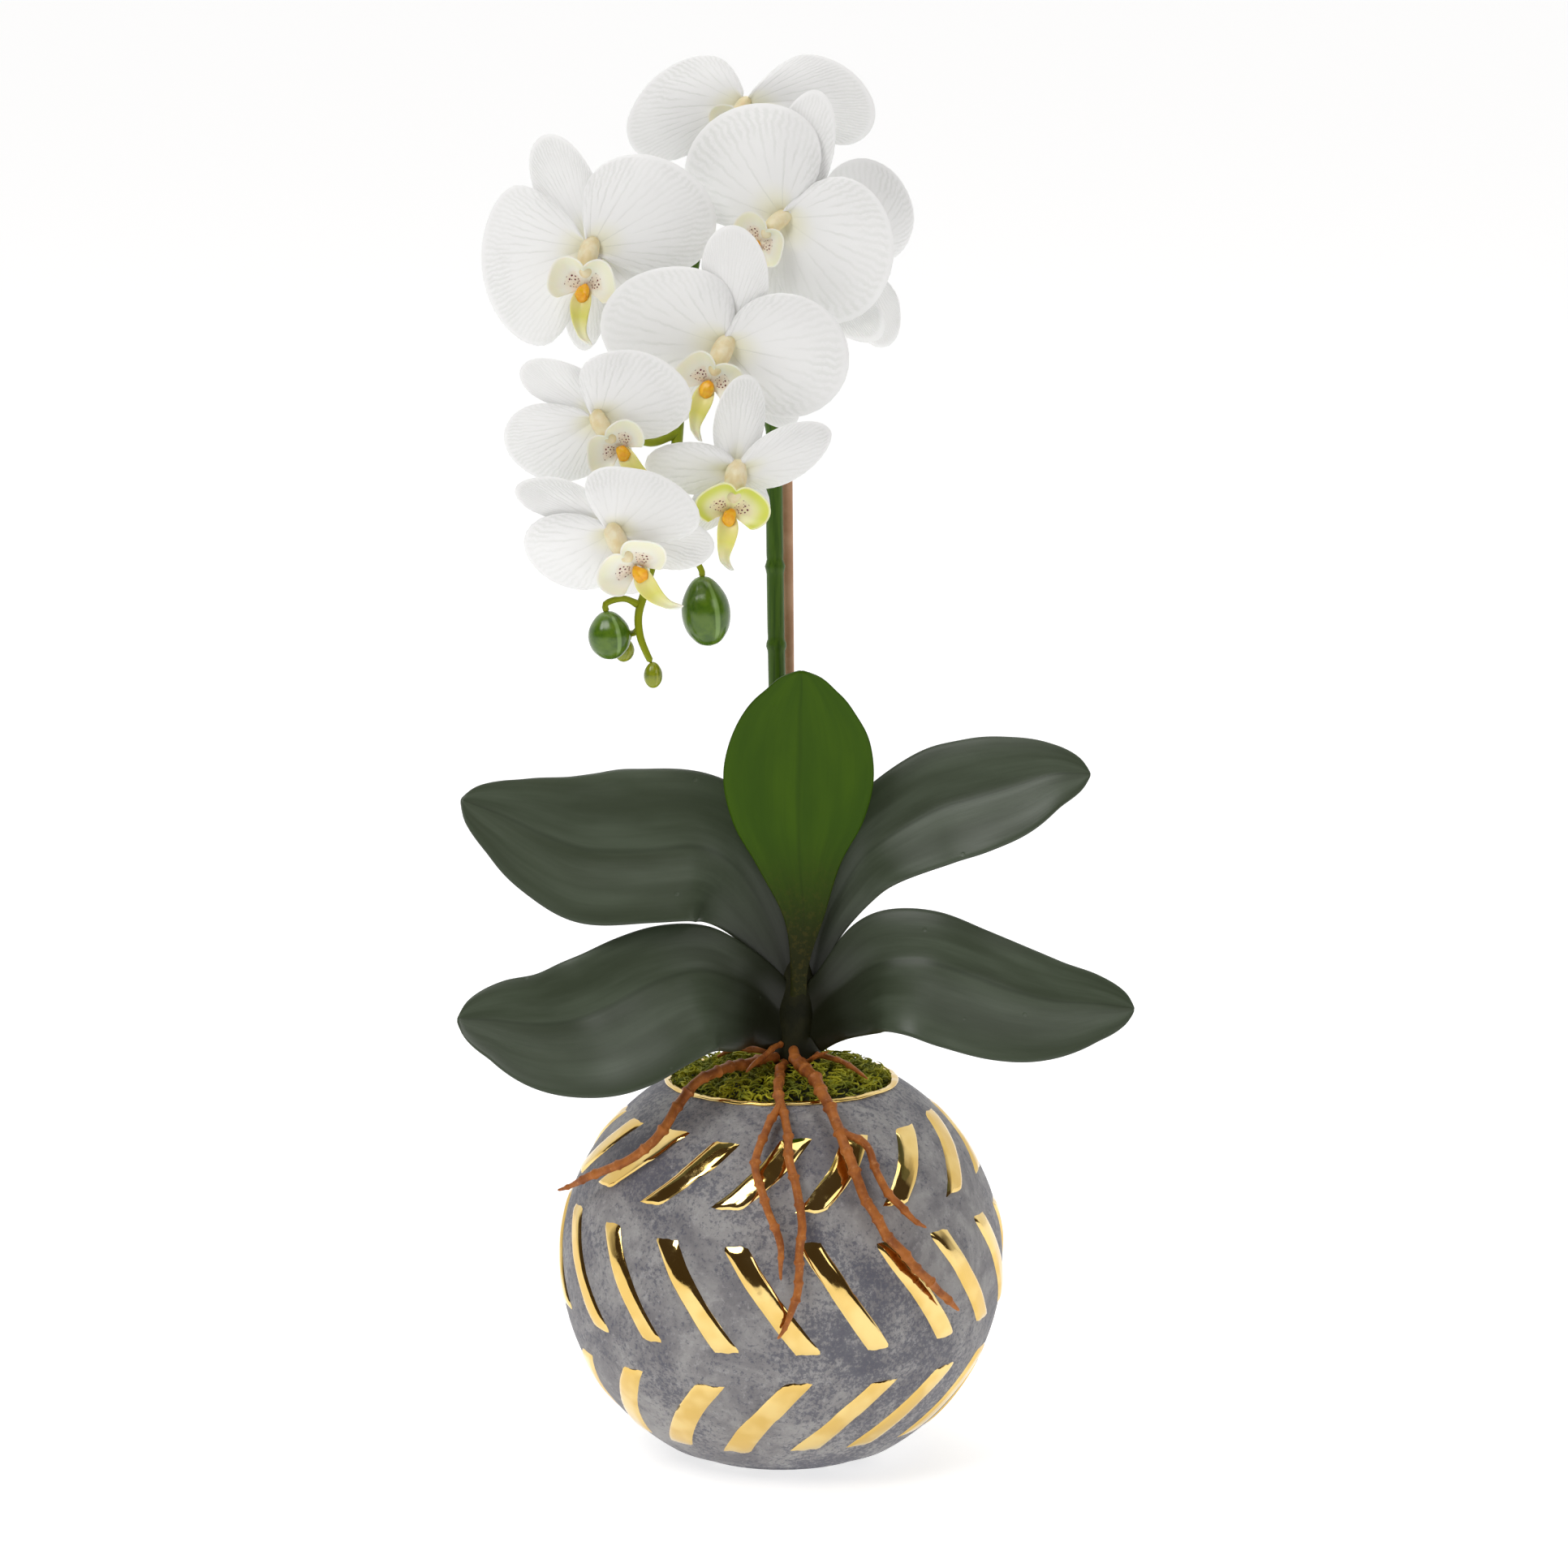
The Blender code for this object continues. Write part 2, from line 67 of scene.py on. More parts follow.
def bell(distance, width):
    return math.exp(-(distance / width) ** 2)


def along(route, share):                         # a point of a smooth curve through the route
    knots = [Vector(point) for point in route]
    knots = [2 * knots[0] - knots[1], *knots, 2 * knots[-1] - knots[-2]]
    place = min(max(share, 0), 1) * (len(route) - 1)
    k = min(int(place), len(route) - 2)
    t = place - k
    a, b, c, d = knots[k:k + 4]
    return 0.5 * (2 * b + (c - a) * t + (2 * a - 5 * b + 4 * c - d) * t ** 2
                  + (3 * b - a - 3 * c + d) * t ** 3)


def evenShares(route, steps):                    # shares of the route at even lengths along it
    fine = 40 * (len(route) - 1)
    points = [along(route, k / fine).xyz for k in range(fine + 1)]
    lengths = [0.0]
    for a, b in zip(points, points[1:]):
        lengths.append(lengths[-1] + (b - a).length)
    shares, k = [], 0
    for step in range(steps + 1):
        wanted = lengths[-1] * step / steps
        while k < fine - 1 and lengths[k + 1] < wanted:
            k += 1
        span = lengths[k + 1] - lengths[k]
        shares.append((k + (wanted - lengths[k]) / span) / fine)
    return shares, lengths[-1]


def mapGrid(name, columns, rows, place):         # a grid whose points go where place(s, t) says, in mm
    deselectAll()
    bpy.ops.mesh.primitive_grid_add(x_subdivisions=columns, y_subdivisions=rows, size=2)
    piece = bpy.context.object
    piece.name = name
    for vertex in piece.data.vertices:
        vertex.co = Vector(place(vertex.co.x, (vertex.co.y + 1) / 2)) * mm
    return piece


def closeSeams(piece, reach=0.02):
    activate(piece)
    bpy.ops.object.mode_set(mode="EDIT")
    bpy.ops.mesh.select_all(action="SELECT")
    bpy.ops.mesh.remove_doubles(threshold=reach * mm)
    bpy.ops.mesh.normals_make_consistent(inside=False)
    bpy.ops.object.mode_set(mode="OBJECT")
    return piece


def applied(piece, name, kind, settings):
    activate(piece)
    step = piece.modifiers.new(name, kind)
    for key, value in settings.items():
        setattr(step, key, value)
    bpy.ops.object.modifier_apply(modifier=step.name)
    return piece


def thicken(piece, thickness, smooth=1, offset=0.0):
    applied(piece, "thickness", "SOLIDIFY", {"thickness": thickness * mm, "offset": offset,
                                             "use_quality_normals": True})
    if smooth:
        applied(piece, "rounding", "SUBSURF", {"levels": smooth, "render_levels": smooth})
    return piece


def joined(name, pieces):
    activate(pieces[0])
    for piece in pieces:
        piece.select_set(True)
    if len(pieces) > 1:
        bpy.ops.object.join()
    pieces[0].name = name
    return pieces[0]


def painted(piece, *paints):
    piece.data.materials.clear()
    for paint in paints:
        piece.data.materials.append(paint)
    return piece


def finished(piece, slot, *nodes):               # in place for good, on the one body
    activate(piece)
    bpy.ops.object.transform_apply(location=True, rotation=True, scale=True)
    bpy.ops.object.shade_smooth_by_angle(angle=math.radians(50))
    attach(piece, "root")
    if nodes:
        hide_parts(*nodes)
    return piece


def carriedFrames(route, steps):                 # centre, two sides and radius along a route
    shares, length = evenShares(route, steps)
    stations = [along(route, share) for share in shares]
    frames, side = [], None
    for k, station in enumerate(stations):
        ahead = (stations[min(k + 1, steps)].xyz - stations[max(k - 1, 0)].xyz).normalized()
        side = ahead.orthogonal() if side is None else side - ahead * side.dot(ahead)
        side = side.normalized()
        frames.append((station.xyz, side, ahead.cross(side), station.w))
    return frames, length


def tube(name, route, sides=12, step=1.5, swell=None, wander=0.0, seed=0.0):
    length = evenShares(route, 8)[1]
    rows = max(6, round(length / step))
    frames, length = carriedFrames(route, rows)

    def place(s, t):
        k = round(t * rows)
        centre, side, other, radius = frames[k]
        angle = math.pi * s
        if swell:
            radius *= swell(t * length, angle)
        if k in (0, rows):
            radius = 0
        if wander:
            at = Vector((t * length * 0.09, seed, 0))
            fade = blendStep(0, 6, t * length)
            drift = side * noise.noise(at) + other * noise.noise(at + Vector((0, 7, 3)))
            centre = centre + fade * wander * drift
        return centre + (side * math.cos(angle) + other * math.sin(angle)) * radius

    return closeSeams(mapGrid(name, sides, rows, place))


# a socket that can be reckoned with, and the tree that it belongs to
class Wire:
    def __init__(self, tree, socket):
        self.tree, self.socket = tree, socket

    def maths(self, operation, first, second=0.0):
        return self.tree.node("ShaderNodeMath", {"operation": operation}, {0: first, 1: second})

    def __add__(self, other):
        return self.maths("ADD", self, other)

    def __radd__(self, other):
        return self.maths("ADD", other, self)

    def __sub__(self, other):
        return self.maths("SUBTRACT", self, other)

    def __rsub__(self, other):
        return self.maths("SUBTRACT", other, self)

    def __mul__(self, other):
        return self.maths("MULTIPLY", self, other)

    def __rmul__(self, other):
        return self.maths("MULTIPLY", other, self)

    def size(self):
        return self.maths("ABSOLUTE", self)

    def near(self):                              # how far from the nearest whole number
        return self.maths("PINGPONG", self, 0.5)

    def most(self, other):
        return self.maths("MAXIMUM", self, other)

    def between(self, low, high):                # 0 at low, 1 at high, smooth; falls if low is over high
        return self.tree.node("ShaderNodeMapRange", {"interpolation_type": "SMOOTHSTEP"},
                              {"Value": self, "From Min": low, "From Max": high})


class Tree:
    def __init__(self, tree):
        self.tree = tree

    def feed(self, socket, value):
        if isinstance(value, Wire):
            self.tree.links.new(value.socket, socket)
        elif socket.type == "RGBA":
            socket.default_value = (*value, 1.0)
        else:
            socket.default_value = value

    def node(self, kind, settings=None, inputs=None, output=0):
        made = self.tree.nodes.new(kind)
        for key, value in (settings or {}).items():
            if key == "stops":
                ends = made.color_ramp.elements
                ends[0].position, ends[0].color = value[0][0], (*value[0][1], 1.0)
                ends[1].position, ends[1].color = value[-1][0], (*value[-1][1], 1.0)
                for position, color in value[1:-1]:
                    ends.new(position).color = (*color, 1.0)
            else:
                setattr(made, key, value)
        for key, value in (inputs or {}).items():
            self.feed(made.inputs[key], value)
        return Wire(self, made.outputs[output])

    def place(self, kind="Object"):
        return self.node("ShaderNodeTexCoord", output=kind)

    def parts(self, vector):
        split = self.node("ShaderNodeSeparateXYZ", inputs={0: vector})
        return [Wire(self, socket) for socket in split.socket.node.outputs]

    def ownMap(self):                            # across the piece and out along it
        return self.parts(self.place("UV"))[:2]

    def vector(self, x, y, z=0.0):
        return self.node("ShaderNodeCombineXYZ", inputs={0: x, 1: y, 2: z})

    def cloud(self, vector, scale, detail=3.0, roughness=0.55, distortion=0.0):
        return self.node("ShaderNodeTexNoise", inputs={"Vector": vector, "Scale": scale, "Detail": detail,
                                                       "Roughness": roughness, "Distortion": distortion})

    def cells(self, vector, scale, feature="F1", randomness=1.0):
        return self.node("ShaderNodeTexVoronoi", {"feature": feature},
                         {"Vector": vector, "Scale": scale, "Randomness": randomness}, "Distance")

    def ramp(self, share, *stops):
        return self.node("ShaderNodeValToRGB", {"stops": stops}, {0: share})

    def mix(self, share, first, second):
        return self.node("ShaderNodeMix", {"data_type": "RGBA"}, {0: share, 6: first, 7: second}, 2)


class Paint(Tree):
    def __init__(self, name, **fixed):
        self.material = bpy.data.materials.new(name)
        self.material.use_nodes = True
        super().__init__(self.material.node_tree)
        self.shader = self.tree.nodes["Principled BSDF"]
        for key, value in fixed.items():
            self.feed(self.shader.inputs[key.replace("_", " ").title().replace("Ior", "IOR")], value)

    def color(self, value):
        self.feed(self.shader.inputs["Base Color"], value)

    def rough(self, value):
        self.feed(self.shader.inputs["Roughness"], value)

    def bump(self, height, distance, strength=1.0):
        self.feed(self.shader.inputs["Normal"],
                  self.node("ShaderNodeBump", inputs={"Height": height, "Distance": distance * mm,
                                                      "Strength": strength}))


def stoneGlaze():
    look = {"body": (0.19, 0.182, 0.192), "pale": (0.34, 0.33, 0.326), "ink": (0.075, 0.079, 0.115),
            "chalk": (0.40, 0.39, 0.39)}
    paint = Paint("stoneGlaze", specular_ior_level=0.35)
    at = paint.place()
    mottle = paint.cloud(at, 40, 6, 0.68, 0.5)
    patches = paint.cloud(at, 16, 3, 0.6, 0.3)
    grain = paint.cloud(at, 620, 4, 0.75)
    dust = paint.cloud(at, 260, 5, 0.8)
    color = paint.mix(mottle.between(0.36, 0.64), look["body"], look["pale"])
    inked = (grain + patches * 0.75 + mottle * -0.25).between(0.745, 0.88)
    color = paint.mix(inked * 0.66, color, look["ink"])
    color = paint.mix((dust + mottle * 0.3).between(0.68, 0.8) * 0.6, color, look["chalk"])
    paint.color(color)
    paint.rough(0.42 + 0.35 * dust)
    paint.bump(grain * 0.6 + mottle * 0.8 + dust * 0.6, 0.3, 0.5)
    return paint.material


def goldLustre():
    paint = Paint("goldLustre", metallic=1.0)
    at = paint.place()
    paint.color(paint.mix(paint.cloud(at, 60, 2).between(0.4, 0.65), (0.74, 0.5, 0.15), (0.85, 0.63, 0.25)))
    paint.rough(0.07 + 0.12 * paint.cloud(at, 300, 3).between(0.5, 0.75))
    paint.bump(paint.cloud(at, 85, 2), 0.45, 0.35)
    return paint.material


def whiteTepal():
    look = {"white": (0.89, 0.89, 0.885), "vein": (0.62, 0.64, 0.6), "throat": (0.87, 0.86, 0.68)}
    paint = Paint("whiteTepal", roughness=0.48, subsurface_weight=0.22, subsurface_scale=0.004,
                  subsurface_radius=(1, 1, 1), specular_ior_level=0.35)
    across, out = paint.ownMap()
    across = across - 0.5
    wobble = (paint.cloud(paint.vector(across * 5, out * 4), 2.2, 3) - 0.5) * out * 0.042
    veins = 0.0
    for count, first, full in ((6, 0.0, 0.1), (12, 0.22, 0.42), (24, 0.42, 0.62), (48, 0.62, 0.8)):
        line = ((across + wobble) * count).near().between(count * 0.0075, count * 0.002)
        veins = (line * out.between(first, full)).most(veins)
    net = paint.cells(paint.vector((across + wobble) * 52, out * 15), 1.0, "DISTANCE_TO_EDGE")
    veins = veins.most(net.between(0.06, 0.02) * out.between(0.5, 0.8) * 0.4)
    patchy = 0.45 + 0.55 * paint.cloud(paint.place(), 45, 2).between(0.4, 0.6)
    veins = veins * out.between(0.975, 0.93) * patchy
    color = paint.mix(out.between(0.34, 0.04), look["white"], look["throat"])
    paint.color(paint.mix(veins * 0.3, color, look["vein"]))
    paint.bump(veins * -1.0 + paint.cloud(paint.place(), 300, 2) * 0.2, 0.18, 0.6)
    return paint.material


def lipPaint(name, cream, edge):
    look = {"pink": (0.84, 0.7, 0.55), "dot": (0.14, 0.008, 0.015)}
    paint = Paint(name, roughness=0.4, subsurface_weight=0.15, subsurface_scale=0.003)
    across, out = paint.ownMap()
    dots = paint.cells(paint.vector(across * 10, out * 12), 1.0, "F1", 0.45)
    field = out.between(0.12, 0.2) * out.between(0.58, 0.46) * (across - 0.5).size().between(0.28, 0.2)
    color = paint.mix(out.between(0.5, 0.88) * out.between(1.0, 0.93), cream, edge)
    color = paint.mix(field * 0.45, color, look["pink"])
    paint.color(paint.mix(dots.between(0.36, 0.27) * field.between(0.2, 0.6), color, look["dot"]))
    return paint.material


def tonguePaint():
    paint = Paint("lipTongue", roughness=0.4, subsurface_weight=0.15, subsurface_scale=0.003)
    out = paint.ownMap()[1]
    paint.color(paint.ramp(out, (0.0, (0.85, 0.78, 0.42)), (0.45, (0.72, 0.7, 0.16)),
                           (0.8, (0.84, 0.83, 0.55)), (1.0, (0.9, 0.9, 0.84))))
    return paint.material


def plainPaint(name, first, second, scale, roughness, bump=0.0, bumpScale=400, **fixed):
    paint = Paint(name, roughness=roughness, **fixed)
    at = paint.place()
    paint.color(paint.mix(paint.cloud(at, scale, 4).between(0.35, 0.65), first, second))
    if bump:
        paint.bump(paint.cloud(at, bumpScale, 3), bump, 0.6)
    return paint.material


def leafPaint(name, body, pale, dark, baseShade, reach, gloss, speckled=0.0):
    paint = Paint(name, specular_ior_level=gloss)
    across, out = paint.ownMap()
    fine = paint.cloud(paint.vector(across * 60, out * 3), 1.0, 3, 0.5)
    broad = paint.cloud(paint.vector(across * 5, out * 2.4), 1.0, 3, 0.5)
    at = paint.place()
    pits = paint.cells(at, 75).between(0.075, 0.03)
    midrib = (across - 0.5).size().between(0.03, 0.0)
    edge = (across - 0.5).size().between(0.485, 0.5)
    color = paint.mix(broad.between(0.3, 0.75), body, pale)
    color = paint.mix(fine.between(0.45, 0.75) * 0.1, color, dark)
    # painted shade: darker along the midrib's groove and at the down-curled margins
    color = paint.mix(midrib * 0.3 + edge * 0.3, color, dark)
    # painted shade: darker towards the leaf's base, where the leaves crowd into the crown
    color = paint.mix(out.between(*reach) * 0.95, color, baseShade)
    if speckled:
        grains = paint.cloud(at, 500, 3, 0.7).between(0.5, 0.62)
        color = paint.mix(grains * out.between(0.55, 0.1) * speckled, color, (0.11, 0.08, 0.01))
    paint.color(paint.mix(pits * 0.35, color, pale))
    paint.rough(0.34 + 0.12 * fine)
    paint.bump(fine * 0.2 + broad * 0.5 - pits * 0.9 + paint.cloud(at, 600, 2) * 0.2, 0.22, 0.5)
    return paint.material


def rootPaint():
    paint = Paint("rootBrown", roughness=0.5, specular_ior_level=0.25)
    at = paint.place()
    blotch = paint.cloud(at, 160, 4, 0.6)
    color = paint.mix(blotch.between(0.35, 0.7), (0.46, 0.15, 0.028), (0.25, 0.07, 0.015))
    color = paint.mix(paint.cloud(at, 600, 2).between(0.55, 0.75) * 0.5, color, (0.6, 0.26, 0.08))
    paint.color(color)
    paint.bump(blotch + paint.cloud(at, 900, 3) * 0.4, 0.3, 0.6)
    return paint.material


def budPaint(name, light, deep, stripe):
    paint = Paint(name, roughness=0.25, specular_ior_level=0.4, coat_weight=0.25, coat_roughness=0.15)
    around, out = paint.ownMap()
    ridge = (around * 3 - 0.62).near().between(0.075, 0.03) * out.between(0.97, 0.85) * out.between(0.06, 0.2)
    color = paint.mix(paint.cloud(paint.place(), 220, 3).between(0.35, 0.7), light, deep)
    color = paint.mix(out.between(0.85, 1.0) * 0.6, color, stripe)
    paint.color(paint.mix(ridge * 0.75, color, stripe))
    return paint.material


def stemPaint():
    paint = Paint("stemGreen", roughness=0.38, specular_ior_level=0.18)
    at = paint.place()
    x, y, z = paint.parts(at)
    streak = paint.cloud(paint.vector(x * 900, y * 900, z * 40), 1.0, 3)
    color = paint.mix(streak.between(0.35, 0.7), (0.06, 0.125, 0.008), (0.03, 0.075, 0.004))
    tip = y.between(-0.012, -0.045)
    paint.color(paint.mix(tip, color, (0.25, 0.29, 0.008)))
    paint.bump(streak, 0.15, 0.5)
    return paint.material


print("materials")
paints = {
    "stone": stoneGlaze(),
    "gold": goldLustre(),
    "tepal": whiteTepal(),
    "lip": lipPaint("lipCream", (0.89, 0.88, 0.79), (0.88, 0.87, 0.68)),
    "lipYoung": lipPaint("lipYoung", (0.84, 0.84, 0.5), (0.66, 0.72, 0.11)),
    "tongue": tonguePaint(),
    "callus": plainPaint("lipCallus", (0.85, 0.36, 0.01), (0.9, 0.5, 0.02), 500, 0.35, 0.1),
    "column": plainPaint("columnCream", (0.77, 0.64, 0.36), (0.83, 0.75, 0.52), 260, 0.42,
                         subsurface_weight=0.15, subsurface_scale=0.003),
    "leaf": leafPaint("leafGreen", (0.042, 0.056, 0.031), (0.08, 0.102, 0.067), (0.014, 0.021, 0.009),
                      (0.009, 0.01, 0.003), (0.42, 0.06), 0.38),
    "underside": leafPaint("leafUnderside", (0.036, 0.088, 0.0), (0.052, 0.115, 0.0), (0.014, 0.04, 0.0),
                           (0.018, 0.018, 0.001), (0.56, 0.16), 0.12, 0.3),
    # the crown's near-black green is painted shade, the same as at the leaf bases, where it sits deep among
    # them
    "crown": plainPaint("crownGreen", (0.009, 0.01, 0.003), (0.02, 0.02, 0.006), 120, 0.55, 0.3,
                        specular_ior_level=0.15),
    "stem": stemPaint(),
    "bud": budPaint("budGreen", (0.095, 0.18, 0.009), (0.045, 0.11, 0.004), (0.24, 0.38, 0.1)),
    "budYoung": budPaint("budYoung", (0.26, 0.3, 0.01), (0.13, 0.17, 0.008), (0.36, 0.38, 0.03)),
    "root": rootPaint(),
    "stake": plainPaint("stakeWood", (0.42, 0.22, 0.11), (0.52, 0.3, 0.17), 90, 0.6, 0.15),
    "moss": plainPaint("mossStrands", (0.52, 0.5, 0.015), (0.17, 0.2, 0.008), 120, 0.75),
    "mossBed": plainPaint("mossBed", (0.02, 0.022, 0.004), (0.05, 0.055, 0.01), 200, 0.9, 1.0, 250),
    "foam": plainPaint("fillerFoam", (0.06, 0.09, 0.04), (0.09, 0.12, 0.05), 300, 0.9, 0.4),
}


potLow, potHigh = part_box("pot")
pot = {
    "radius": potHigh.x / mm + 0.2, "height": potHigh.z / mm, "waist": 70.6, "belly": 78.8, "shoulder": 76.6,
    "wall": 4.0, "floor": 6.0, "footRounding": 4.0, "lipStart": 1.2, "sides": 144, "rings": 44,
}


def potRadius(height):
    half = pot["shoulder"] if height > pot["waist"] else pot["belly"]
    return pot["radius"] * math.sqrt(max(0, 1 - ((height - pot["waist"]) / half) ** 2))


def turned(name, profile, sides):                # a ring pulled up and scaled along a profile, poles closed
    deselectAll()
    radius, height = profile[0]
    bpy.ops.mesh.primitive_circle_add(vertices=sides, radius=radius * mm, location=(0, 0, height * mm))
    piece = bpy.context.object
    piece.name = name
    bpy.ops.object.transform_apply(location=True)
    bpy.ops.object.mode_set(mode="EDIT")
    bpy.ops.mesh.select_all(action="SELECT")
    for newRadius, newHeight in profile[1:]:
        bpy.ops.mesh.extrude_region_move(TRANSFORM_OT_translate={"value": (0, 0, (newHeight - height) * mm)})
        share = newRadius / radius
        bpy.ops.transform.resize(value=(share, share, 1), center_override=(0, 0, newHeight * mm))
        radius, height = newRadius, newHeight
    bpy.ops.mesh.merge(type="CENTER")
    bpy.ops.mesh.select_all(action="DESELECT")
    bpy.ops.mesh.select_non_manifold()
    bpy.ops.mesh.merge(type="CENTER")
    bpy.ops.mesh.select_all(action="SELECT")
    bpy.ops.mesh.normals_make_consistent(inside=False)
    bpy.ops.object.mode_set(mode="OBJECT")
    return piece


def makePot():
    rings = pot["rings"]
    low = math.asin((pot["footRounding"] - pot["waist"]) / pot["belly"])
    high = math.asin((pot["height"] - pot["lipStart"] - pot["waist"]) / pot["shoulder"])
    turns = [low + (high - low) * k / rings for k in range(rings + 1)]
    halves = [pot["shoulder"] if turn > 0 else pot["belly"] for turn in turns]
    heights = [pot["waist"] + half * math.sin(turn) for half, turn in zip(halves, turns)]
    foot = potRadius(0) - pot["footRounding"]
    rounding = [(foot + pot["footRounding"] * math.sin(a), pot["footRounding"] * (1 - math.cos(a)) * 0.8)
                for a in (math.radians(d) for d in (0, 20, 40, 60))]
    side = [(potRadius(height), height) for height in heights]
    lip = side[-1][0]
    rim = [(lip - 0.4, pot["height"] - 0.4), (lip - 1.4, pot["height"]), (lip - 2.6, pot["height"] - 0.3),
           (lip - 3.4, pot["height"] - 1.4)]
    inside = [(potRadius(height) - pot["wall"], height) for height in reversed(heights)
              if height > pot["floor"] + 4]
    profile = [(2, 0.6), (foot - 6, 0.6), (foot - 3, 0), (foot, 0), *rounding[1:], *side, *rim, *inside,
               (inside[-1][0] - 5, pot["floor"]), (2, pot["floor"])]
    piece = turned("potShell", profile, pot["sides"])
    painted(piece, paints["stone"])
    finished(piece, "stone_glaze", "pot")


barRows = (                                      # degrees round the pot from the front, + to the right
    {"low": 104.0, "high": 126.5, "lean": 21.0, "width": 11.4, "bow": 0.3,
     "seen": (-78, -52.3, -29.9, -5.1, 18.1, 43.5, 68, 92), "behind": 7},
    {"low": 55.5, "high": 94.5, "lean": -18.8, "width": 9.7, "bow": -0.6,
     "seen": (-84, -63.5, -43.5, -22.9, -2.5, 16.6, 38.4, 56.1, 76), "behind": 9},
    {"low": 12.5, "high": 43.5, "lean": 21.5, "width": 10.8, "bow": 0.4,
     "seen": (-79, -54.5, -30.6, -6.4, 18.9, 40.5, 64, 86), "behind": 7},
)
barLook = {"shift": 1.2, "sunk": 0.35, "rise": 1.25, "ripple": 0.12, "depth": 0.9, "columns": 8, "rows": 22}
rimLook = {"width": 1.7, "flatten": 0.5, "ripple": 0.35}


def makeBars():
    draw, shift = random.Random(4), barLook["shift"]
    bars = []
    for row in barRows:
        gap = (360 - row["seen"][-1] + row["seen"][0]) / (row["behind"] + 1)
        hidden = [row["seen"][-1] + gap * (k + 1) for k in range(row["behind"])]
        for longitude in (*row["seen"], *hidden):
            lean = row["lean"] + draw.uniform(-shift, shift)
            low = row["low"] + draw.uniform(-shift, shift)
            high = row["high"] + draw.uniform(-shift, shift)
            width = row["width"] * draw.uniform(0.94, 1.08)
            seed = draw.uniform(0, 50)

            def place(s, t):
                edge = noise.noise(Vector((t * 4, seed, 1 if s > 0 else -1))) * 0.5
                end = noise.noise(Vector((s * 1.5, seed + 9, round(t)))) * 0.6
                height = low + (high - low) * t + end
                radius = potRadius(height)
                bow = row["bow"] * (1 - (2 * t - 1) ** 2)
                angle = math.radians(longitude - 90 + lean * (t - 0.5))
                angle += (s * (width / 2 + edge) + bow) / radius
                rise = (1 - abs(s) ** 5) * (1 - abs(2 * t - 1) ** 14)
                ripple = barLook["ripple"] * noise.noise(Vector((s * 2, t * 5, seed)))
                radius += -barLook["sunk"] + barLook["rise"] * rise ** 0.6 + ripple
                return Vector((radius * math.cos(angle), radius * math.sin(angle), height))

            bars.append(mapGrid("goldBar", barLook["columns"], barLook["rows"], place))
    bars = joined("goldBars", bars)
    applied(bars, "depth", "SOLIDIFY", {"thickness": barLook["depth"] * mm, "offset": -1.0})
    painted(bars, paints["gold"])
    finished(bars, "gold_lustre")

    lip = potRadius(pot["height"] - pot["lipStart"])
    deselectAll()
    bpy.ops.mesh.primitive_torus_add(major_radius=(lip - 1.5) * mm, minor_radius=rimLook["width"] * mm,
                                     major_segments=pot["sides"], minor_segments=16,
                                     location=(0, 0, (pot["height"] - 0.5) * mm))
    bpy.ops.transform.resize(value=(1, 1, rimLook["flatten"]))
    rim = bpy.context.object
    rim.name = "goldRim"
    bpy.ops.object.transform_apply(location=True)
    for vertex in rim.data.vertices:             # the lustre's lower edge wanders a little
        vertex.co.z += noise.noise(vertex.co * 180) * rimLook["ripple"] * mm
    painted(rim, paints["gold"])
    finished(rim, "gold_lustre")


moss = {
    "strands": 1200, "kinds": 7, "radius": 38.5, "edge": 137.0, "crown": 143.5,
    "keepClear": ((5, -3, 8.5), (7, 9.5, 3.6), (3.5, 17.5, 2.4)),    # crown, spike and stake: x, y, radius
}


def mossStrand(draw):                            # one curled thread, a few turns of a loose coil
    turns, radius = draw.uniform(0.7, 1.8), draw.uniform(1.2, 2.8)
    rise, thick = draw.uniform(1.5, 3.8), draw.uniform(0.28, 0.5)
    route = []
    for k in range(6):
        angle = 2 * math.pi * turns * k / 5
        route.append((radius * math.cos(angle) * (1 - 0.08 * k), radius * math.sin(angle) * (1 - 0.08 * k),
                      rise * k / 5, thick * (1 if k < 4 else 0.6)))
    rows = 7
    frames = carriedFrames(route, rows)[0]

    def place(s, t):
        k = round(t * rows)
        centre, side, other, width = frames[k]
        if k in (0, rows):
            width *= 0.15
        return centre + (side * math.cos(math.pi * s) + other * math.sin(math.pi * s)) * width

    return closeSeams(mapGrid("mossStrand", 4, rows, place), 0.01)


def makeMoss():
    draw = random.Random(11)
    kinds = [mossStrand(draw) for k in range(moss["kinds"])]
    copies = []
    for k in range(moss["strands"]):
        while True:
            away, turn = moss["radius"] * math.sqrt(draw.random()), draw.uniform(0, 2 * math.pi)
            x, y = away * math.cos(turn), away * math.sin(turn)
            if all(math.hypot(x - cx, y - cy) > clear for cx, cy, clear in moss["keepClear"]):
                break
        share = 1 - (away / moss["radius"]) ** 2
        height = moss["edge"] + (moss["crown"] - moss["edge"]) * share + draw.uniform(-2.0, 0.6)
        tilt = Matrix.Rotation(draw.uniform(0, 6.3), 4, "Z") @ Matrix.Rotation(draw.uniform(0, 1.5), 4, "X")
        mesh = draw.choice(kinds).data.copy()
        mesh.transform(Matrix.Translation(Vector((x, y, height)) * mm) @ tilt
                       @ Matrix.Scale(draw.uniform(0.7, 1.25), 4))
        strand = bpy.data.objects.new("strand", mesh)
        bpy.context.collection.objects.link(strand)
        copies.append(strand)
    for kind in kinds:
        bpy.data.objects.remove(kind)
    curls = joined("mossCurls", copies)
    painted(curls, paints["moss"])
    finished(curls, "moss_strands")
    painted(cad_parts["moss"], paints["mossBed"])
    painted(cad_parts["potting_medium"], paints["foam"])


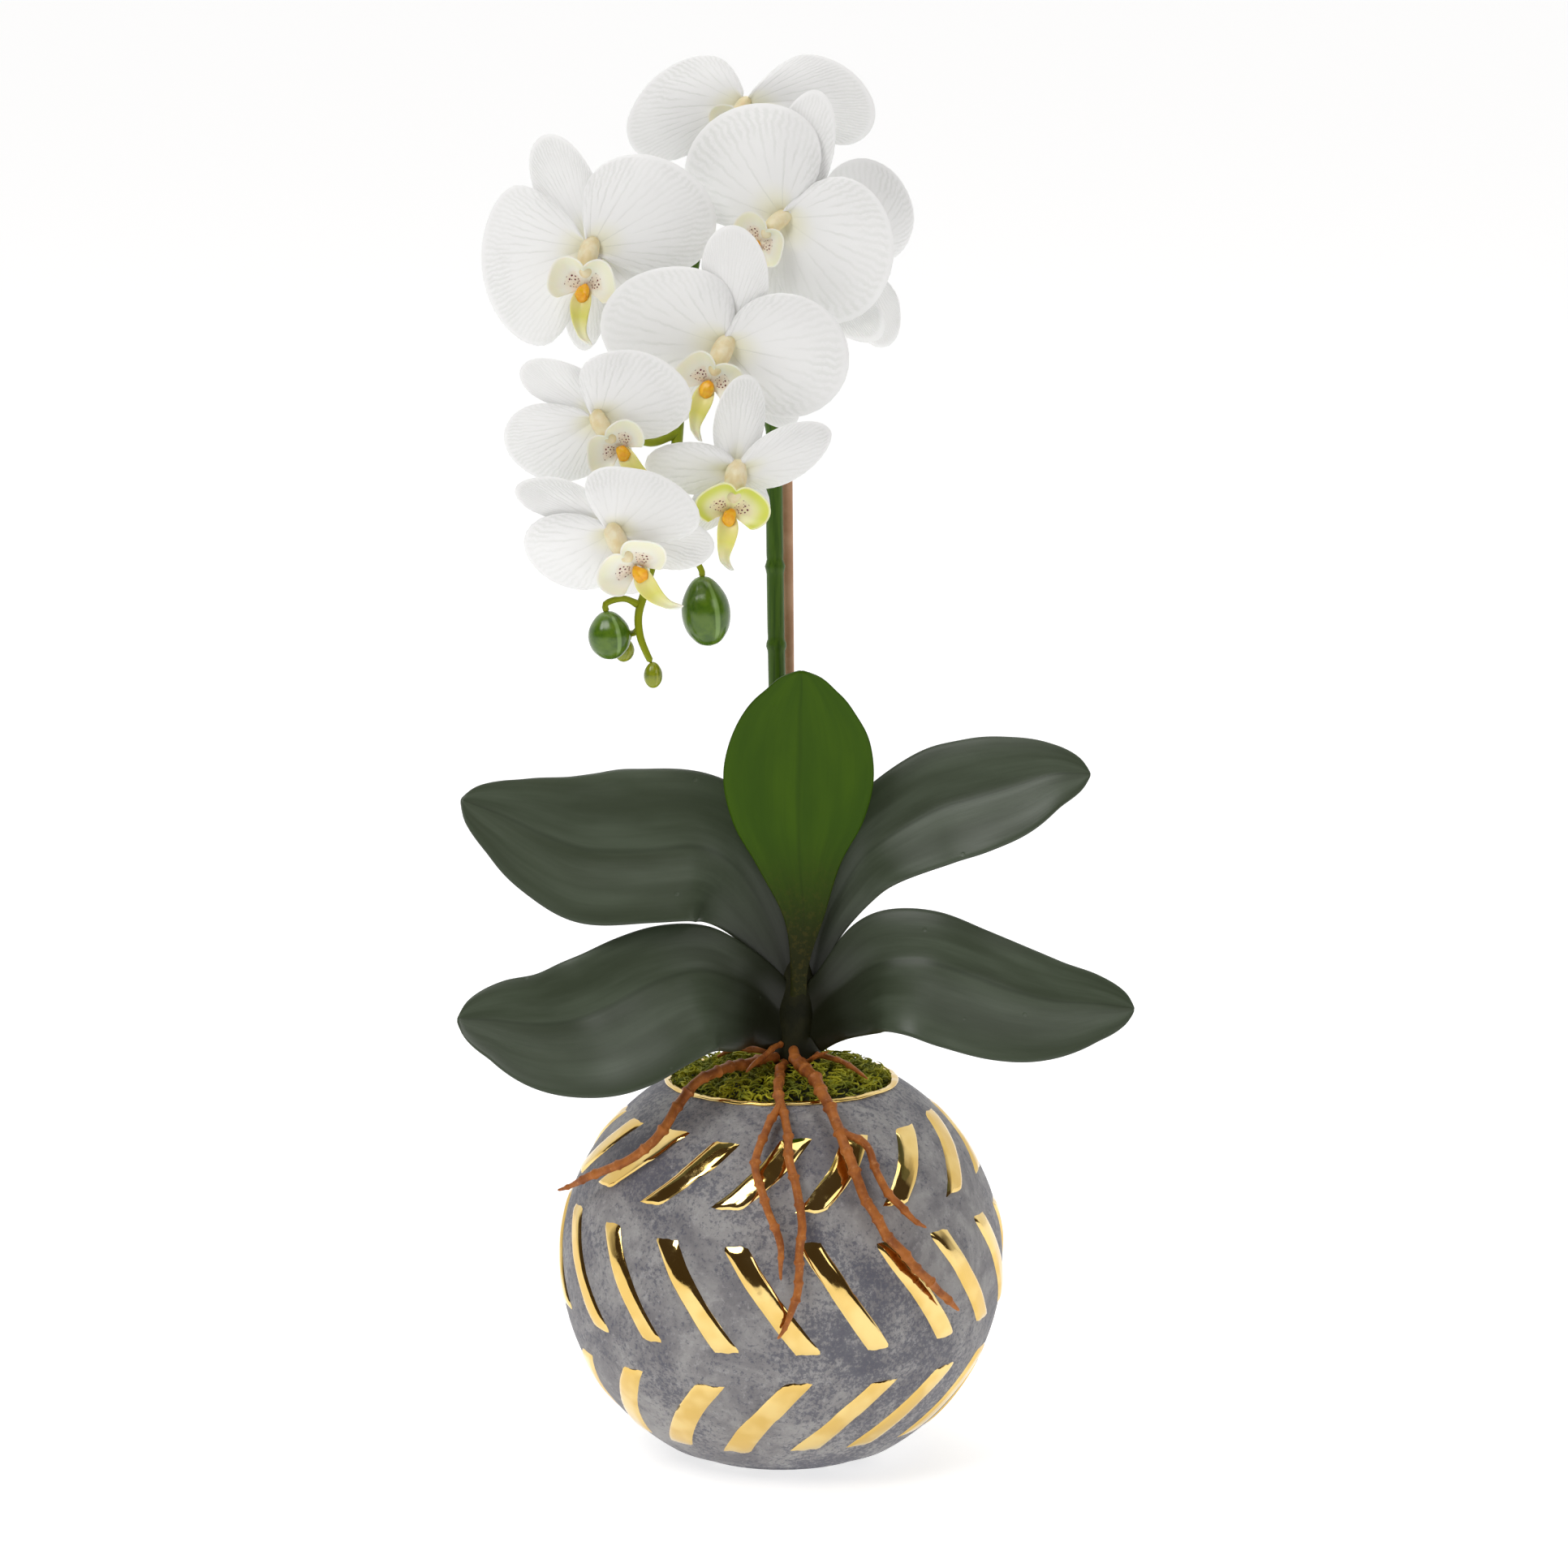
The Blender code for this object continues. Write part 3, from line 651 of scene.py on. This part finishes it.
# (x, y, z, upper half width, lower half width) along the midrib, in mm; the upper side looks along face
leaves = (
    {"face": (0, 0.96, 0.26), "channel": 0.12, "paint": "underside", "slot": "leaf_underside",
     "midrib": ((6, -8, 160, 3, 3), (6.5, -10, 180, 3.2, 3.2), (8, -13, 199, 7.5, 7.5),
                (6.5, -17, 218, 15, 15),
                (6, -20.5, 233, 23, 23), (6, -25, 249, 26.7, 26.7), (6.5, -29.5, 264, 24.8, 24.8),
                (6.5, -33.5, 276, 19, 19), (7, -36, 283.5, 12.5, 12.5), (7, -38.5, 291.5, 0.4, 0.4))},
    {"face": (0, -0.85, 0.5), "channel": 0.26, "paint": "leaf", "slot": "leaf_green",
     "midrib": ((4, -4.5, 160, 4, 4), (1.5, -5.5, 180, 8, 8), (-6, -8, 200, 14, 16),
                (-17, -11, 217, 22, 26),
                (-30, -14, 224, 27, 29.5), (-49.5, -17, 223, 30, 28.5), (-68.5, -20, 224, 28.5, 29),
                (-83, -21, 229, 23.5, 24), (-98, -22, 236.5, 14.5, 17), (-113.5, -24, 243, 0.4, 0.4))},
    {"face": (0, -0.85, 0.5), "channel": 0.24, "paint": "leaf", "slot": "leaf_green",
     "midrib": ((8, -3.5, 160, 4, 4), (11.5, -5, 180, 6, 5), (15.5, -6, 195, 9, 8),
                (24, -10, 212, 13, 12.5),
                (33.5, -14, 224, 18, 16.5), (54.5, -15, 237, 22, 21.5), (69, -17, 242, 22, 21.5),
                (83, -18, 246.5, 19, 19), (97, -19, 251, 11.5, 13), (109.5, -20, 251.5, 0.4, 0.4))},
    {"face": (0, -0.85, 0.5), "channel": 0.34, "paint": "leaf", "slot": "leaf_green",
     "midrib": ((3, -5, 158, 10, 13), (-3, -8.5, 165, 10, 17), (-9, -13, 171.5, 11, 23),
                (-16.5, -20, 177, 13, 28),
                (-26.5, -25, 181.5, 16, 32), (-37.5, -30, 181, 18.5, 33.5), (-49, -34, 177, 20, 34.5),
                (-62, -38, 170.5, 21, 34.5), (-73, -40, 166.5, 21, 31.5), (-86.5, -42, 165.5, 18, 25.5),
                (-102, -42, 167, 13, 15), (-114.5, -42, 167.5, 0.4, 0.4))},
    {"face": (0, -0.85, 0.5), "channel": 0.34, "paint": "leaf", "slot": "leaf_green",
     "midrib": ((8, -5, 157, 9, 12), (13, -8.5, 164, 9, 15), (18.5, -13, 170, 10, 18),
                (24, -16, 175, 12.5, 21.5),
                (32, -20, 181.5, 17, 26), (40, -24, 184.5, 19, 28), (52.5, -28, 185, 18.5, 30.5),
                (67, -31, 181, 17, 31), (83, -35, 176, 16, 29), (97, -37, 173, 14, 24),
                (113, -38, 172, 9.5, 14.5), (124.8, -38, 170.5, 0.4, 0.4))},
)


leafLook = {"columns": 22, "rows": 64, "smoothing": 5, "thickness": 1.3, "ruffle": 1.2, "tip": 0.53}


def makeLeaf(number, leaf):
    rows, reach = leafLook["rows"], leafLook["smoothing"]
    centres = [(x, y, z, 0) for x, y, z, upper, lower in leaf["midrib"]]
    widths = [(upper, lower, 0, 0) for x, y, z, upper, lower in leaf["midrib"]]
    shares = evenShares(centres, rows)[0]
    stations = [along(centres, share).xyz for share in shares]
    face, last = Vector(leaf["face"]), len(centres) - 1

    def place(s, t):
        k = round(t * rows)
        ahead = (stations[min(k + reach, rows)] - stations[max(k - reach, 0)]).normalized()
        side = face.cross(ahead).normalized()
        up = ahead.cross(side)
        upper = s * side.z > 0
        wide = along(widths, shares[k])[0 if upper else 1]
        tip = shares[k] * last - (last - 1)
        if tip > 0:                              # the last stretch is rounded off
            wide = widths[last - 1][0 if upper else 1] * max(1 - tip, 0.0002) ** leafLook["tip"]
        rise = leaf["channel"] * wide * (math.sqrt(s * s + 0.02) - 0.14 - 0.32 * s ** 4)
        ruffle = noise.noise(Vector((t * 3.2, number * 3.1, s * 0.6))) * leafLook["ruffle"] * s * s
        return stations[k] + side * s * wide + up * (rise + ruffle)

    blade = mapGrid("leafBlade%d" % number, leafLook["columns"], rows, place)
    thicken(blade, leafLook["thickness"])
    painted(blade, paints[leaf["paint"]])
    finished(blade, leaf["slot"], "leaf_%d" % number)


# (x, y, z, radius) along each stem and root, in mm; stalks are (x, y, z) only
crown = ((5, -3, 112, 8), (5, -3, 140, 8.3), (5, -3, 158, 8), (5.2, -3, 170, 7), (5.5, -3.2, 178, 5),
         (5.8, -3.4, 186, 2.5))
spike = ((7, 9.5, 112, 3.3), (7, 9.5, 150, 3.3), (4.5, 8.5, 180, 3.3), (0.5, 6, 204, 3.2),
         (-1.5, 6, 279, 3.1), (-2.5, 8, 349, 3.0), (-2.5, 9, 408, 2.8), (-2.5, 9, 448, 2.6),
         (-8, 8, 467, 2.5), (-18, 7, 466, 2.4), (-27, 6, 449, 2.3), (-32, -3, 424, 2.2),
         (-34, -15, 401, 2.1), (-35.5, -22, 386, 2.1), (-36.5, -34, 370, 2.0), (-38, -49, 356, 1.9),
         (-42, -63, 342, 1.7), (-46.5, -73, 326, 1.5), (-49, -77, 317, 1.4), (-48.5, -78.5, 310, 1.3),
         (-46.5, -79.5, 304.5, 1.2), (-44.5, -80, 300.5, 1.1))
spikeNodes = (293.5, 321.5, 226, 372, 425)       # heights of the rings on the upright stem
stake = ((3.5, 17.5, 112, 2), (3.5, 17.5, 150, 2), (2.8, 16, 250, 2), (2, 14.5, 348, 2), (1.8, 14, 374, 2))
stalks = (
    ((-2.5, 9, 432), (-10, 22, 443), (-16, 31, 457), (-16, 33, 470)),
    ((-2.5, 9, 438), (2, 0, 446)),
    ((-28.5, 4.5, 443), (-44, 5, 447), (-59, 1, 441)),
    ((-32.5, -6, 418), (-27, -22, 409)),
    ((-36.2, -31, 374), (-46, -41, 372), (-56, -50, 378)),
    ((-36.7, -37, 367), (-27, -44, 366), (-19, -49, 365.5)),
    ((-43, -65.5, 339), (-50, -76, 343)),
    ((-2.5, 8.5, 384), (3, 25, 391), (12, 40, 404), (20, 42, 420)),
)
stalkRadius, budStalkRadius = 1.5, 1.1
buds = (
    {"at": (-59, -78, 310), "half": 8.5, "radius": 7.3, "lean": (-0.1, 0, 1),
     "stalk": ((-48.5, -76, 320), (-54, -77, 322.5))},
    {"at": (-26, -72, 317.5), "half": 12.3, "radius": 8.4, "lean": (-0.12, 0.05, 1),
     "stalk": ((-42, -63, 343), (-34, -66, 341))},
    {"at": (-54, -70, 303.5), "half": 4.2, "radius": 3.4, "lean": (0.3, -0.3, 1),
     "stalk": ((-48.7, -78, 312), (-51, -74, 310))},
    {"at": (-44, -80, 296.5), "half": 4.6, "radius": 3.2, "lean": (0, 0, 1), "stalk": None},
)
roots = (
    (((3, -5, 146, 2.4), (-2, -8.5, 146, 2.3), (-11, -18, 146.5, 2.2), (-21, -30, 146.5, 2.1),
      (-30, -38.5, 143.5, 2.1), (-36.5, -43.5, 136, 2.1), (-43.5, -47.5, 127, 2), (-51.5, -48, 119.5, 1.9),
      (-61, -43.5, 113, 1.8),
      (-70, -36.5, 108.5, 1.6), (-80, -29.5, 102.5, 0.5)),),
    (((4, -5, 145, 1.9), (1, -11, 144.5, 1.9), (-1, -22, 144, 1.9), (-1, -41, 141.5, 1.9),
      (1, -53.5, 134, 1.8),
      (3.5, -67, 122, 1.8), (6.5, -77, 106.5, 1.8), (6.5, -82.5, 90, 1.7), (4, -85, 74, 1.5),
      (-1, -85, 62.5, 0.5)),
     ((-0.5, -48, 138, 1.7), (-8, -63, 126.5, 1.7), (-9, -70, 120, 1.7), (-5.5, -77.5, 109.5, 1.6),
      (-0.5, -82, 97, 1.5), (0, -84.5, 83.5, 0.5))),
    (((5, -5, 150, 2.3), (5, -11.8, 149.5, 2.3), (5, -18, 147, 2.3), (9, -28, 146, 2.4),
      (14, -40.5, 142.5, 2.4),
      (21, -55.5, 130, 2.2), (27.5, -67, 114, 2.1), (36, -72, 98.5, 2), (48, -69.5, 83, 1.9),
      (58, -62.5, 71.5, 1.6),
      (62.5, -58, 66, 0.5)),
     ((21, -55.5, 130, 1.6), (30, -58, 125, 1.6), (35, -65, 114, 1.6), (43, -66.5, 104, 1.5),
      (51, -64, 97, 0.5))),
    (((6, -6, 146, 1), (8.5, -11.5, 145, 1), (11, -18, 148, 0.9), (13, -24, 150, 0.8),
      (17, -29, 153, 0.3)),),
    (((9, -5, 147, 1.2), (13.5, -6, 146, 1.2), (20, -13, 146, 1.1), (26, -21, 145, 1),
      (31, -29, 143.5, 0.3)),),
    (((3, -6, 150.5, 1.2), (-0.5, -10.2, 150.5, 1.2), (-5, -18, 150.5, 1.2), (-10, -26, 148.5, 1.1),
      (-13, -34, 146.5, 0.4)),),
    (((1, -3, 147, 1.5), (-3.8, -3, 147, 1.5), (-10, 0, 147.5, 1.5), (-18, 6, 146, 1.2),
      (-24, 8, 143, 0.4)),),
)


def makeStems():
    def folds(length, angle):
        return 1 + 0.1 * math.sin(2 * angle + length * 0.06) + 0.05 * math.sin(3 * angle - length * 0.1)

    piece = tube("crownSheaths", crown, 28, 1.5, folds)
    painted(piece, paints["crown"])
    finished(piece, "crown_green", "crown")

    def rings(length, angle):
        height = spike[0][2] + length * 0.995
        swell = sum(0.2 * bell(height - node, 1.4) - 0.05 * bell(height - node - 2.6, 1.0)
                    for node in spikeNodes)
        return 1 + swell + 0.03 * math.cos(3 * angle)

    pieces = [tube("mainStem", spike, 16, 1.3, rings)]
    for flower, route in zip(flowers, stalks):
        back = [flowerPlace(flower) @ Vector((0, 0, -depth)) for depth in (9.2, 3.5)]
        points = [(*point, stalkRadius) for point in (*route, *back)]
        pieces.append(tube("flowerStalk", points, 10, 1.5,
                           lambda length, angle: 1 + 0.25 * bell(length - 1.5, 1.6)))
    for bud in buds:
        if bud["stalk"]:
            centre, lean = Vector(bud["at"]), Vector(bud["lean"]).normalized()
            top = [centre + lean * (bud["half"] + rise) for rise in (2.5, -1)]
            points = [(*point, budStalkRadius) for point in (*bud["stalk"], *top)]
            pieces.append(tube("budStalk", points, 10, 1.2,
                               lambda length, angle: 1 + 0.3 * bell(length - 1, 1.6)))
    piece = joined("flowerSpike", pieces)
    painted(piece, paints["stem"])
    finished(piece, "stem_green", "flower_spike")

    piece = tube("supportStick", stake, 14, 6)
    painted(piece, paints["stake"])
    finished(piece, "stake_wood", "support_stake")


budOutline = ((-1, 0.02), (-0.93, 0.36), (-0.78, 0.62), (-0.5, 0.88), (-0.1, 1), (0.3, 0.93), (0.65, 0.68),
              (0.88, 0.4), (1, 0.12))                # height to the half height, width to the radius


def makeBuds():
    for number, bud in enumerate(buds, 1):
        centre, lean = Vector(bud["at"]), Vector(bud["lean"]).normalized()
        route = [(*(centre + lean * bud["half"] * share), bud["radius"] * wide) for share, wide in budOutline]
        piece = tube("bud%d" % number, route, 36, bud["half"] / 16,
                     lambda length, angle: 1 - 0.07 * bell(math.sin(1.5 * angle + 0.6), 0.16))
        painted(piece, paints["bud" if number < 3 else "budYoung"])
        finished(piece, "bud_green", "bud_%d" % number)


rootLook = {"firstKnot": (4, 8), "knotGap": (6, 12), "knotSize": (0.25, 0.5), "slim": 0.86, "wander": 1.1}


def makeRoots():
    draw = random.Random(7)
    for number, routes in enumerate(roots, 1):
        pieces = []
        for route in routes:
            length = evenShares(route, 8)[1]
            knots, at = [], draw.uniform(*rootLook["firstKnot"])
            while at < length - 3:
                knots.append((at, draw.uniform(*rootLook["knotSize"])))
                at += draw.uniform(*rootLook["knotGap"])

            def swell(where, angle):
                knobs = sum(size * bell(where - knot, 0.7) for knot, size in knots)
                rough = 0.10 * noise.noise(Vector((where * 0.25, math.cos(angle), math.sin(angle))))
                return rootLook["slim"] * (1 + knobs + rough)

            pieces.append(tube("rootStrand", route, 14, 0.8, swell, rootLook["wander"], draw.uniform(0, 40)))
        piece = joined("aerialRoot%d" % number, pieces)
        painted(piece, paints["root"])
        finished(piece, "root_brown", "root_%d" % number)


# lobes are ellipses in the plane of the flower (x, y, half length, half width, turn)
flowers = (
    {"at": (-13, 20, 485), "yaw": -12, "pitch": 8, "roll": -20, "size": 0.7,
     "petals": ((-22.5, -1.5, 24.5, 16, 35), (26.5, 2, 21, 15, -28)),
     "sepals": ((0.5, -16.5, 16.5, 10, -88), (-14.5, -6.5, 17.5, 9, 161), (15.5, -6, 16.5, 8.5, -24))},
    {"at": (0.5, -12, 447.5), "yaw": -16, "pitch": 0, "roll": -42, "size": 0.85,
     "petals": ((-12, 17.5, 27, 22, 20), (17.5, -11, 27, 22, 85)),
     "sepals": ((6, 23, 22, 11, 80), (-7, -17, 19, 11, -112), (19, -28.5, 19.5, 10.5, -46))},
    {"at": (-66.5, -12, 437), "yaw": -10, "pitch": 0, "roll": -6, "size": 1.0,
     "petals": ((-21.5, -6.5, 29.5, 19.5, 97), (19.5, 11.5, 25, 21, -24)),
     "sepals": ((-10.5, 21.5, 19.5, 11, 118), (-3, -19, 19, 8, -96), (15, -14, 19.5, 9.5, -44))},
    {"at": (-19.5, -42, 406), "yaw": -6, "pitch": -5, "roll": -22, "size": 1.0,
     "petals": ((-19, 6.5, 27, 20.5, 11), (20.5, -4, 23.5, 22, -35)),
     "sepals": ((3, 23, 18, 12, 96), (-14, -15.5, 18, 9, -130), (12.5, -16, 17.5, 9, -52))},
    {"at": (-62.5, -66, 383.5), "yaw": -4, "pitch": -10, "roll": 40, "size": 0.9,
     "petals": ((-15.5, -9.5, 18.5, 15, -5), (11.5, 8, 21.5, 15.5, -15)),
     "sepals": ((-13.5, 10.5, 15, 8.5, 163), (3.5, -13, 13.5, 7.5, -77), (14.5, 2, 14, 7.5, 11))},
    {"at": (-16, -60, 364.5), "yaw": 8, "pitch": -5, "roll": -11, "size": 1.0, "young": True,
     "petals": ((-15.5, 1, 17, 9.5, 174), (17.5, 5, 18.5, 9.5, 26)),
     "sepals": ((2, 17, 16.5, 9, 81), (-7, -11.5, 12.5, 7, -125), (6, -9.5, 11.5, 6, -60))},
    {"at": (-56.5, -92, 347.5), "yaw": -4, "pitch": -12, "roll": 36, "size": 1.0,
     "petals": ((-14.5, -7.5, 18.5, 14.5, -12), (9, 9.5, 22, 12.5, -21)),
     "sepals": ((-18.5, 9.5, 16.5, 7.5, 168), (3.5, -13, 11.5, 7.5, -77), (17, -5, 17, 10, -12))},
    {"at": (26, 32, 431), "yaw": 28, "pitch": -4, "roll": -30, "size": 0.85,
     "petals": ((6, 14.5, 21.5, 18, -47), (-8, -12.5, 20.5, 16.5, -57)),
     "sepals": ((-14, 8, 17, 8.5, 151), (12, -21, 16, 10, -62), (4, -16, 14.5, 9, -88))},
)


# the flower's plane: x right, y up, z towards the viewer, in mm
def flowerPlace(flower):
    return (Matrix.Translation(Vector(flower["at"])) @ Matrix.Rotation(math.radians(flower["yaw"]), 4, "Z")
            @ Matrix.Rotation(math.radians(90 - flower["pitch"]), 4, "X"))


def lobeReach(lobe, angle):                      # from the flower's centre to the lobe's far edge
    x, y, length, width, turn = lobe
    turn = math.radians(turn)
    angle -= turn
    ray = Vector((math.cos(angle) / length, math.sin(angle) / width))
    start = Matrix.Rotation(-turn, 2) @ Vector((x, y))
    start = Vector((start.x / length, start.y / width))
    inside = ray.dot(start) ** 2 - ray.length_squared * (start.length_squared - 1)
    return (ray.dot(start) + math.sqrt(inside)) / ray.length_squared if inside > 0 else 0


def lobeFan(lobe):                               # its heading, and how far it opens to each side
    heading = math.atan2(lobe[1], lobe[0])
    opens = []
    for way in (-1, 1):
        degrees = 4
        while degrees < 112 and lobeReach(lobe, heading + way * math.radians(degrees + 1)) > 0:
            degrees += 1
        opens.append(math.radians(degrees))
    return heading, opens


lobeLook = {"columns": 18, "rows": 12, "claw": 1.6, "thickness": 0.7, "reflex": 3.0, "reflexAt": 32}
whorls = (("sepals", 3.3, 0.7, 1.2), ("petals", 0.5, 0.9, 2.6))    # depth, groove and bow of each


def makeLobe(name, lobe, depth, seed, groove, bow):
    heading, opens = lobeFan(lobe)
    claw = lobeLook["claw"]

    def place(s, t):
        opening = opens[0] if s < 0 else opens[1]
        angle = heading + s * opening
        wide = blendStep(math.radians(70), math.radians(110), opening)
        taper = 1 - (0.42 + 0.33 * wide) * blendStep(0.78 - 0.18 * wide, 1.0, abs(s)) ** 1.3
        reach = lobeReach(lobe, angle) * taper
        away = claw + (reach - claw) * t
        ripple = noise.noise(Vector((math.cos(angle) * 2.1, math.sin(angle) * 2.1, seed))) * 2.6 * t ** 2
        fine = noise.noise(Vector((angle * 3.2, t * 2.0, seed + 5))) * 0.9 * t ** 1.5
        lift = bow * math.sin(math.pi * min(t, 1) ** 0.75)
        lift -= lobeLook["reflex"] * (away / lobeLook["reflexAt"]) ** 2
        lift -= groove * bell(s, 0.13) * (1 - t * 0.7) * blendStep(0, 0.15, t)
        return Vector((away * math.cos(angle), away * math.sin(angle), -depth + lift + ripple + fine))

    return thicken(mapGrid(name, lobeLook["columns"], lobeLook["rows"], place), lobeLook["thickness"])


lipLook = {"centre": (0, -14, 4.6), "heading": 34, "opening": 58, "reach": 13.5, "cup": 7, "thickness": 0.7,
           "tongueThickness": 0.8, "callus": 2.6}
tongue = ((0, -15, 4.5, 2.4), (0, -19, 8.2, 3.7), (0.2, -23.5, 9.2, 3), (0.8, -28, 7.8, 2),
          (2.2, -31.2, 7, 1.7), (4.6, -33, 8.4, 0.9))    # (x, y, z, half width) in the flower's plane


def lipFan(heading, seed):
    centre, opening, reach, cup = [lipLook[key] for key in ("centre", "opening", "reach", "cup")]

    def place(s, t):
        angle = math.radians(heading + s * opening)
        edge = reach * (1 - 0.35 * abs(s) ** 3) * (1 + 0.05 * math.sin(5 * s + seed))
        away = 1.0 + (edge - 1.0) * t
        lift = cup * t ** 2 + 1.2 * math.sin(math.pi * t) + 0.5 * noise.noise(Vector((s * 2, t * 2, seed)))
        return Vector(centre) + Vector((away * math.cos(angle), away * math.sin(angle), lift))

    return thicken(mapGrid("lipLobe", 12, 9, place), lipLook["thickness"])


def lipTongue():
    rows, across = 18, Vector((1, 0, 0))
    stations = [along(tongue, share) for share in evenShares(tongue, rows)[0]]

    def place(s, t):
        k = round(t * rows)
        ahead = (stations[min(k + 1, rows)].xyz - stations[max(k - 1, 0)].xyz).normalized()
        up = across.cross(ahead)
        if up.z < 0:
            up = -up
        half = stations[k].w
        return stations[k].xyz + across * s * half + up * 0.5 * half * abs(s) ** 1.6

    return thicken(mapGrid("lipTongue", 8, rows, place), lipLook["tongueThickness"])


def placed(piece, matrix, scale, turn):
    spin = Matrix.Rotation(math.radians(turn), 4, "Z")
    into = matrix @ spin @ Matrix.Scale(scale, 4)
    into.translation = into.translation * mm     # the mesh is in metres, the table in mm
    piece.data.transform(into)
    return piece


def makeLip(number, flower):
    place = flowerPlace(flower)
    sides = [lipFan(180 - lipLook["heading"], number), lipFan(lipLook["heading"], number + 3)]
    strap = lipTongue()
    deselectAll()
    bpy.ops.mesh.primitive_uv_sphere_add(segments=20, ring_count=12, radius=lipLook["callus"] * mm,
                                         location=(0, -15.6 * mm, 7.4 * mm), scale=(0.95, 1.35, 0.8))
    callus = bpy.context.object
    bpy.ops.object.transform_apply(location=True, rotation=False, scale=True)
    for vertex in callus.data.vertices:          # two humps with a notch between them
        vertex.co.z += (0.7 * abs(vertex.co.x) / (lipLook["callus"] * mm) - 0.3) * mm
        vertex.co += noise.noise_vector(vertex.co * 420 + Vector((number, 0, 0))) * 0.8 * mm
    for piece in sides:
        painted(piece, paints["lipYoung" if flower.get("young") else "lip"])
    painted(strap, paints["tongue"])
    painted(callus, paints["callus"])
    lip = joined("flower%dLip" % number, [*sides, strap, callus])
    placed(lip, place, flower["size"], flower["roll"])
    finished(lip, "lip_petal", "flower_%d_lip" % number)


column = ((0, 2, -0.6, 2.6), (0, 0.8, 2, 3.4), (0, -1.8, 4.6, 3.7), (0, -4.8, 6.4, 3.3), (0, -7.6, 7.2, 2.5),
          (0, -9.4, 6.4, 1.3))                     # (x, y, z, radius) in the flower's plane


def makeColumn(number, flower):
    piece = tube("flower%dColumn" % number, column, 24, 0.5,
                 lambda length, angle: 1 + 0.1 * math.cos(2 * angle))
    painted(piece, paints["column"])
    placed(piece, flowerPlace(flower), flower["size"], flower["roll"])
    finished(piece, "column_cream", "flower_%d_column" % number)


def makeFlower(number, flower):
    for part, depth, groove, bow in whorls:
        lobes = []
        for k, lobe in enumerate(flower[part]):  # the second lobe lies a little in front of the others
            seed = number * 3.7 + k * 1.3 + depth
            lobes.append(makeLobe("lobe", lobe, depth - 0.9 * (k == 1), seed, groove, bow))
        whorl = joined("flower%d%s" % (number, part.capitalize()), lobes)
        painted(whorl, paints["tepal"])
        placed(whorl, flowerPlace(flower), 1, 0)
        finished(whorl, "white_tepal", "flower_%d_%s" % (number, part))
    makeLip(number, flower)
    makeColumn(number, flower)


makePot()
makeBars()
print("pot")
makeMoss()
print("moss")
for number, leaf in enumerate(leaves, 1):
    makeLeaf(number, leaf)
print("leaves")
makeStems()
makeBuds()
makeRoots()
print("stems, buds and roots")
for number, flower in enumerate(flowers, 1):
    makeFlower(number, flower)
print("flowers")


studio = {
    "target": (0.9, 0.0, 244.4), "distance": 2200, "elevation": 10.0, "lens": 141.36,
    "floor": 30.0, "room": (0.06, 0.046, 0.034), "sweep": (0.95, 0.95, 0.95), "softboxAim": (0, 0, 0.25),
    "softboxes": (
        {"at": (-1.5, -1.7, 2.8), "size": (1.5, 1.5), "power": 50},
        {"at": (2.1, -1.9, 1.7), "size": (1.3, 1.3), "power": 10},
        {"at": (0.2, 0.3, 2.6), "size": (2.0, 1.4), "power": 18},
    ),
}


def makeStage():
    deselectAll()
    bpy.ops.mesh.primitive_plane_add(size=studio["floor"])
    floor = bpy.context.object
    floor.name = "floor"
    paint = Paint("floorWhite", roughness=0.9, base_color=(0.62, 0.62, 0.62), specular_ior_level=0.1,
                  emission_color=(1.0, 1.0, 1.0), emission_strength=0.7)
    painted(floor, paint.material)

    for number, box in enumerate(studio["softboxes"]):
        lamp = bpy.data.lights.new("softbox%d" % number, "AREA")
        lamp.shape = "RECTANGLE"
        lamp.size, lamp.size_y = box["size"]
        lamp.energy = box["power"]
        holder = bpy.data.objects.new("softbox%d" % number, lamp)
        bpy.context.collection.objects.link(holder)
        holder.location = box["at"]
        aim = Vector(studio["softboxAim"]) - Vector(box["at"])
        holder.rotation_euler = aim.to_track_quat("-Z", "Y").to_euler()

    world = bpy.data.worlds.new("studio")
    bpy.context.scene.world = world
    world.use_nodes = True
    room = Tree(world.node_tree)                 # a white sweep behind the object, a dark room in front
    depth = room.parts(room.place("Generated"))[1]
    room.feed(room.tree.nodes["Background"].inputs["Color"],
              room.ramp(depth, (0.02, studio["room"]), (0.3, studio["sweep"])))

    camera = bpy.data.cameras.new("camera")
    camera.lens = studio["lens"]
    camera.sensor_width = 36
    camera.clip_end = 60
    holder = bpy.data.objects.new("camera", camera)
    bpy.context.collection.objects.link(holder)
    tilt = math.radians(studio["elevation"])
    target = Vector(studio["target"]) * mm
    holder.location = target + Vector((0, -math.cos(tilt), math.sin(tilt))) * studio["distance"] * mm
    holder.rotation_euler = (math.radians(90) - tilt, 0, 0)
    bpy.context.scene.camera = holder
    bpy.context.scene.view_settings.view_transform = "Standard"


makeStage()
print("stage")
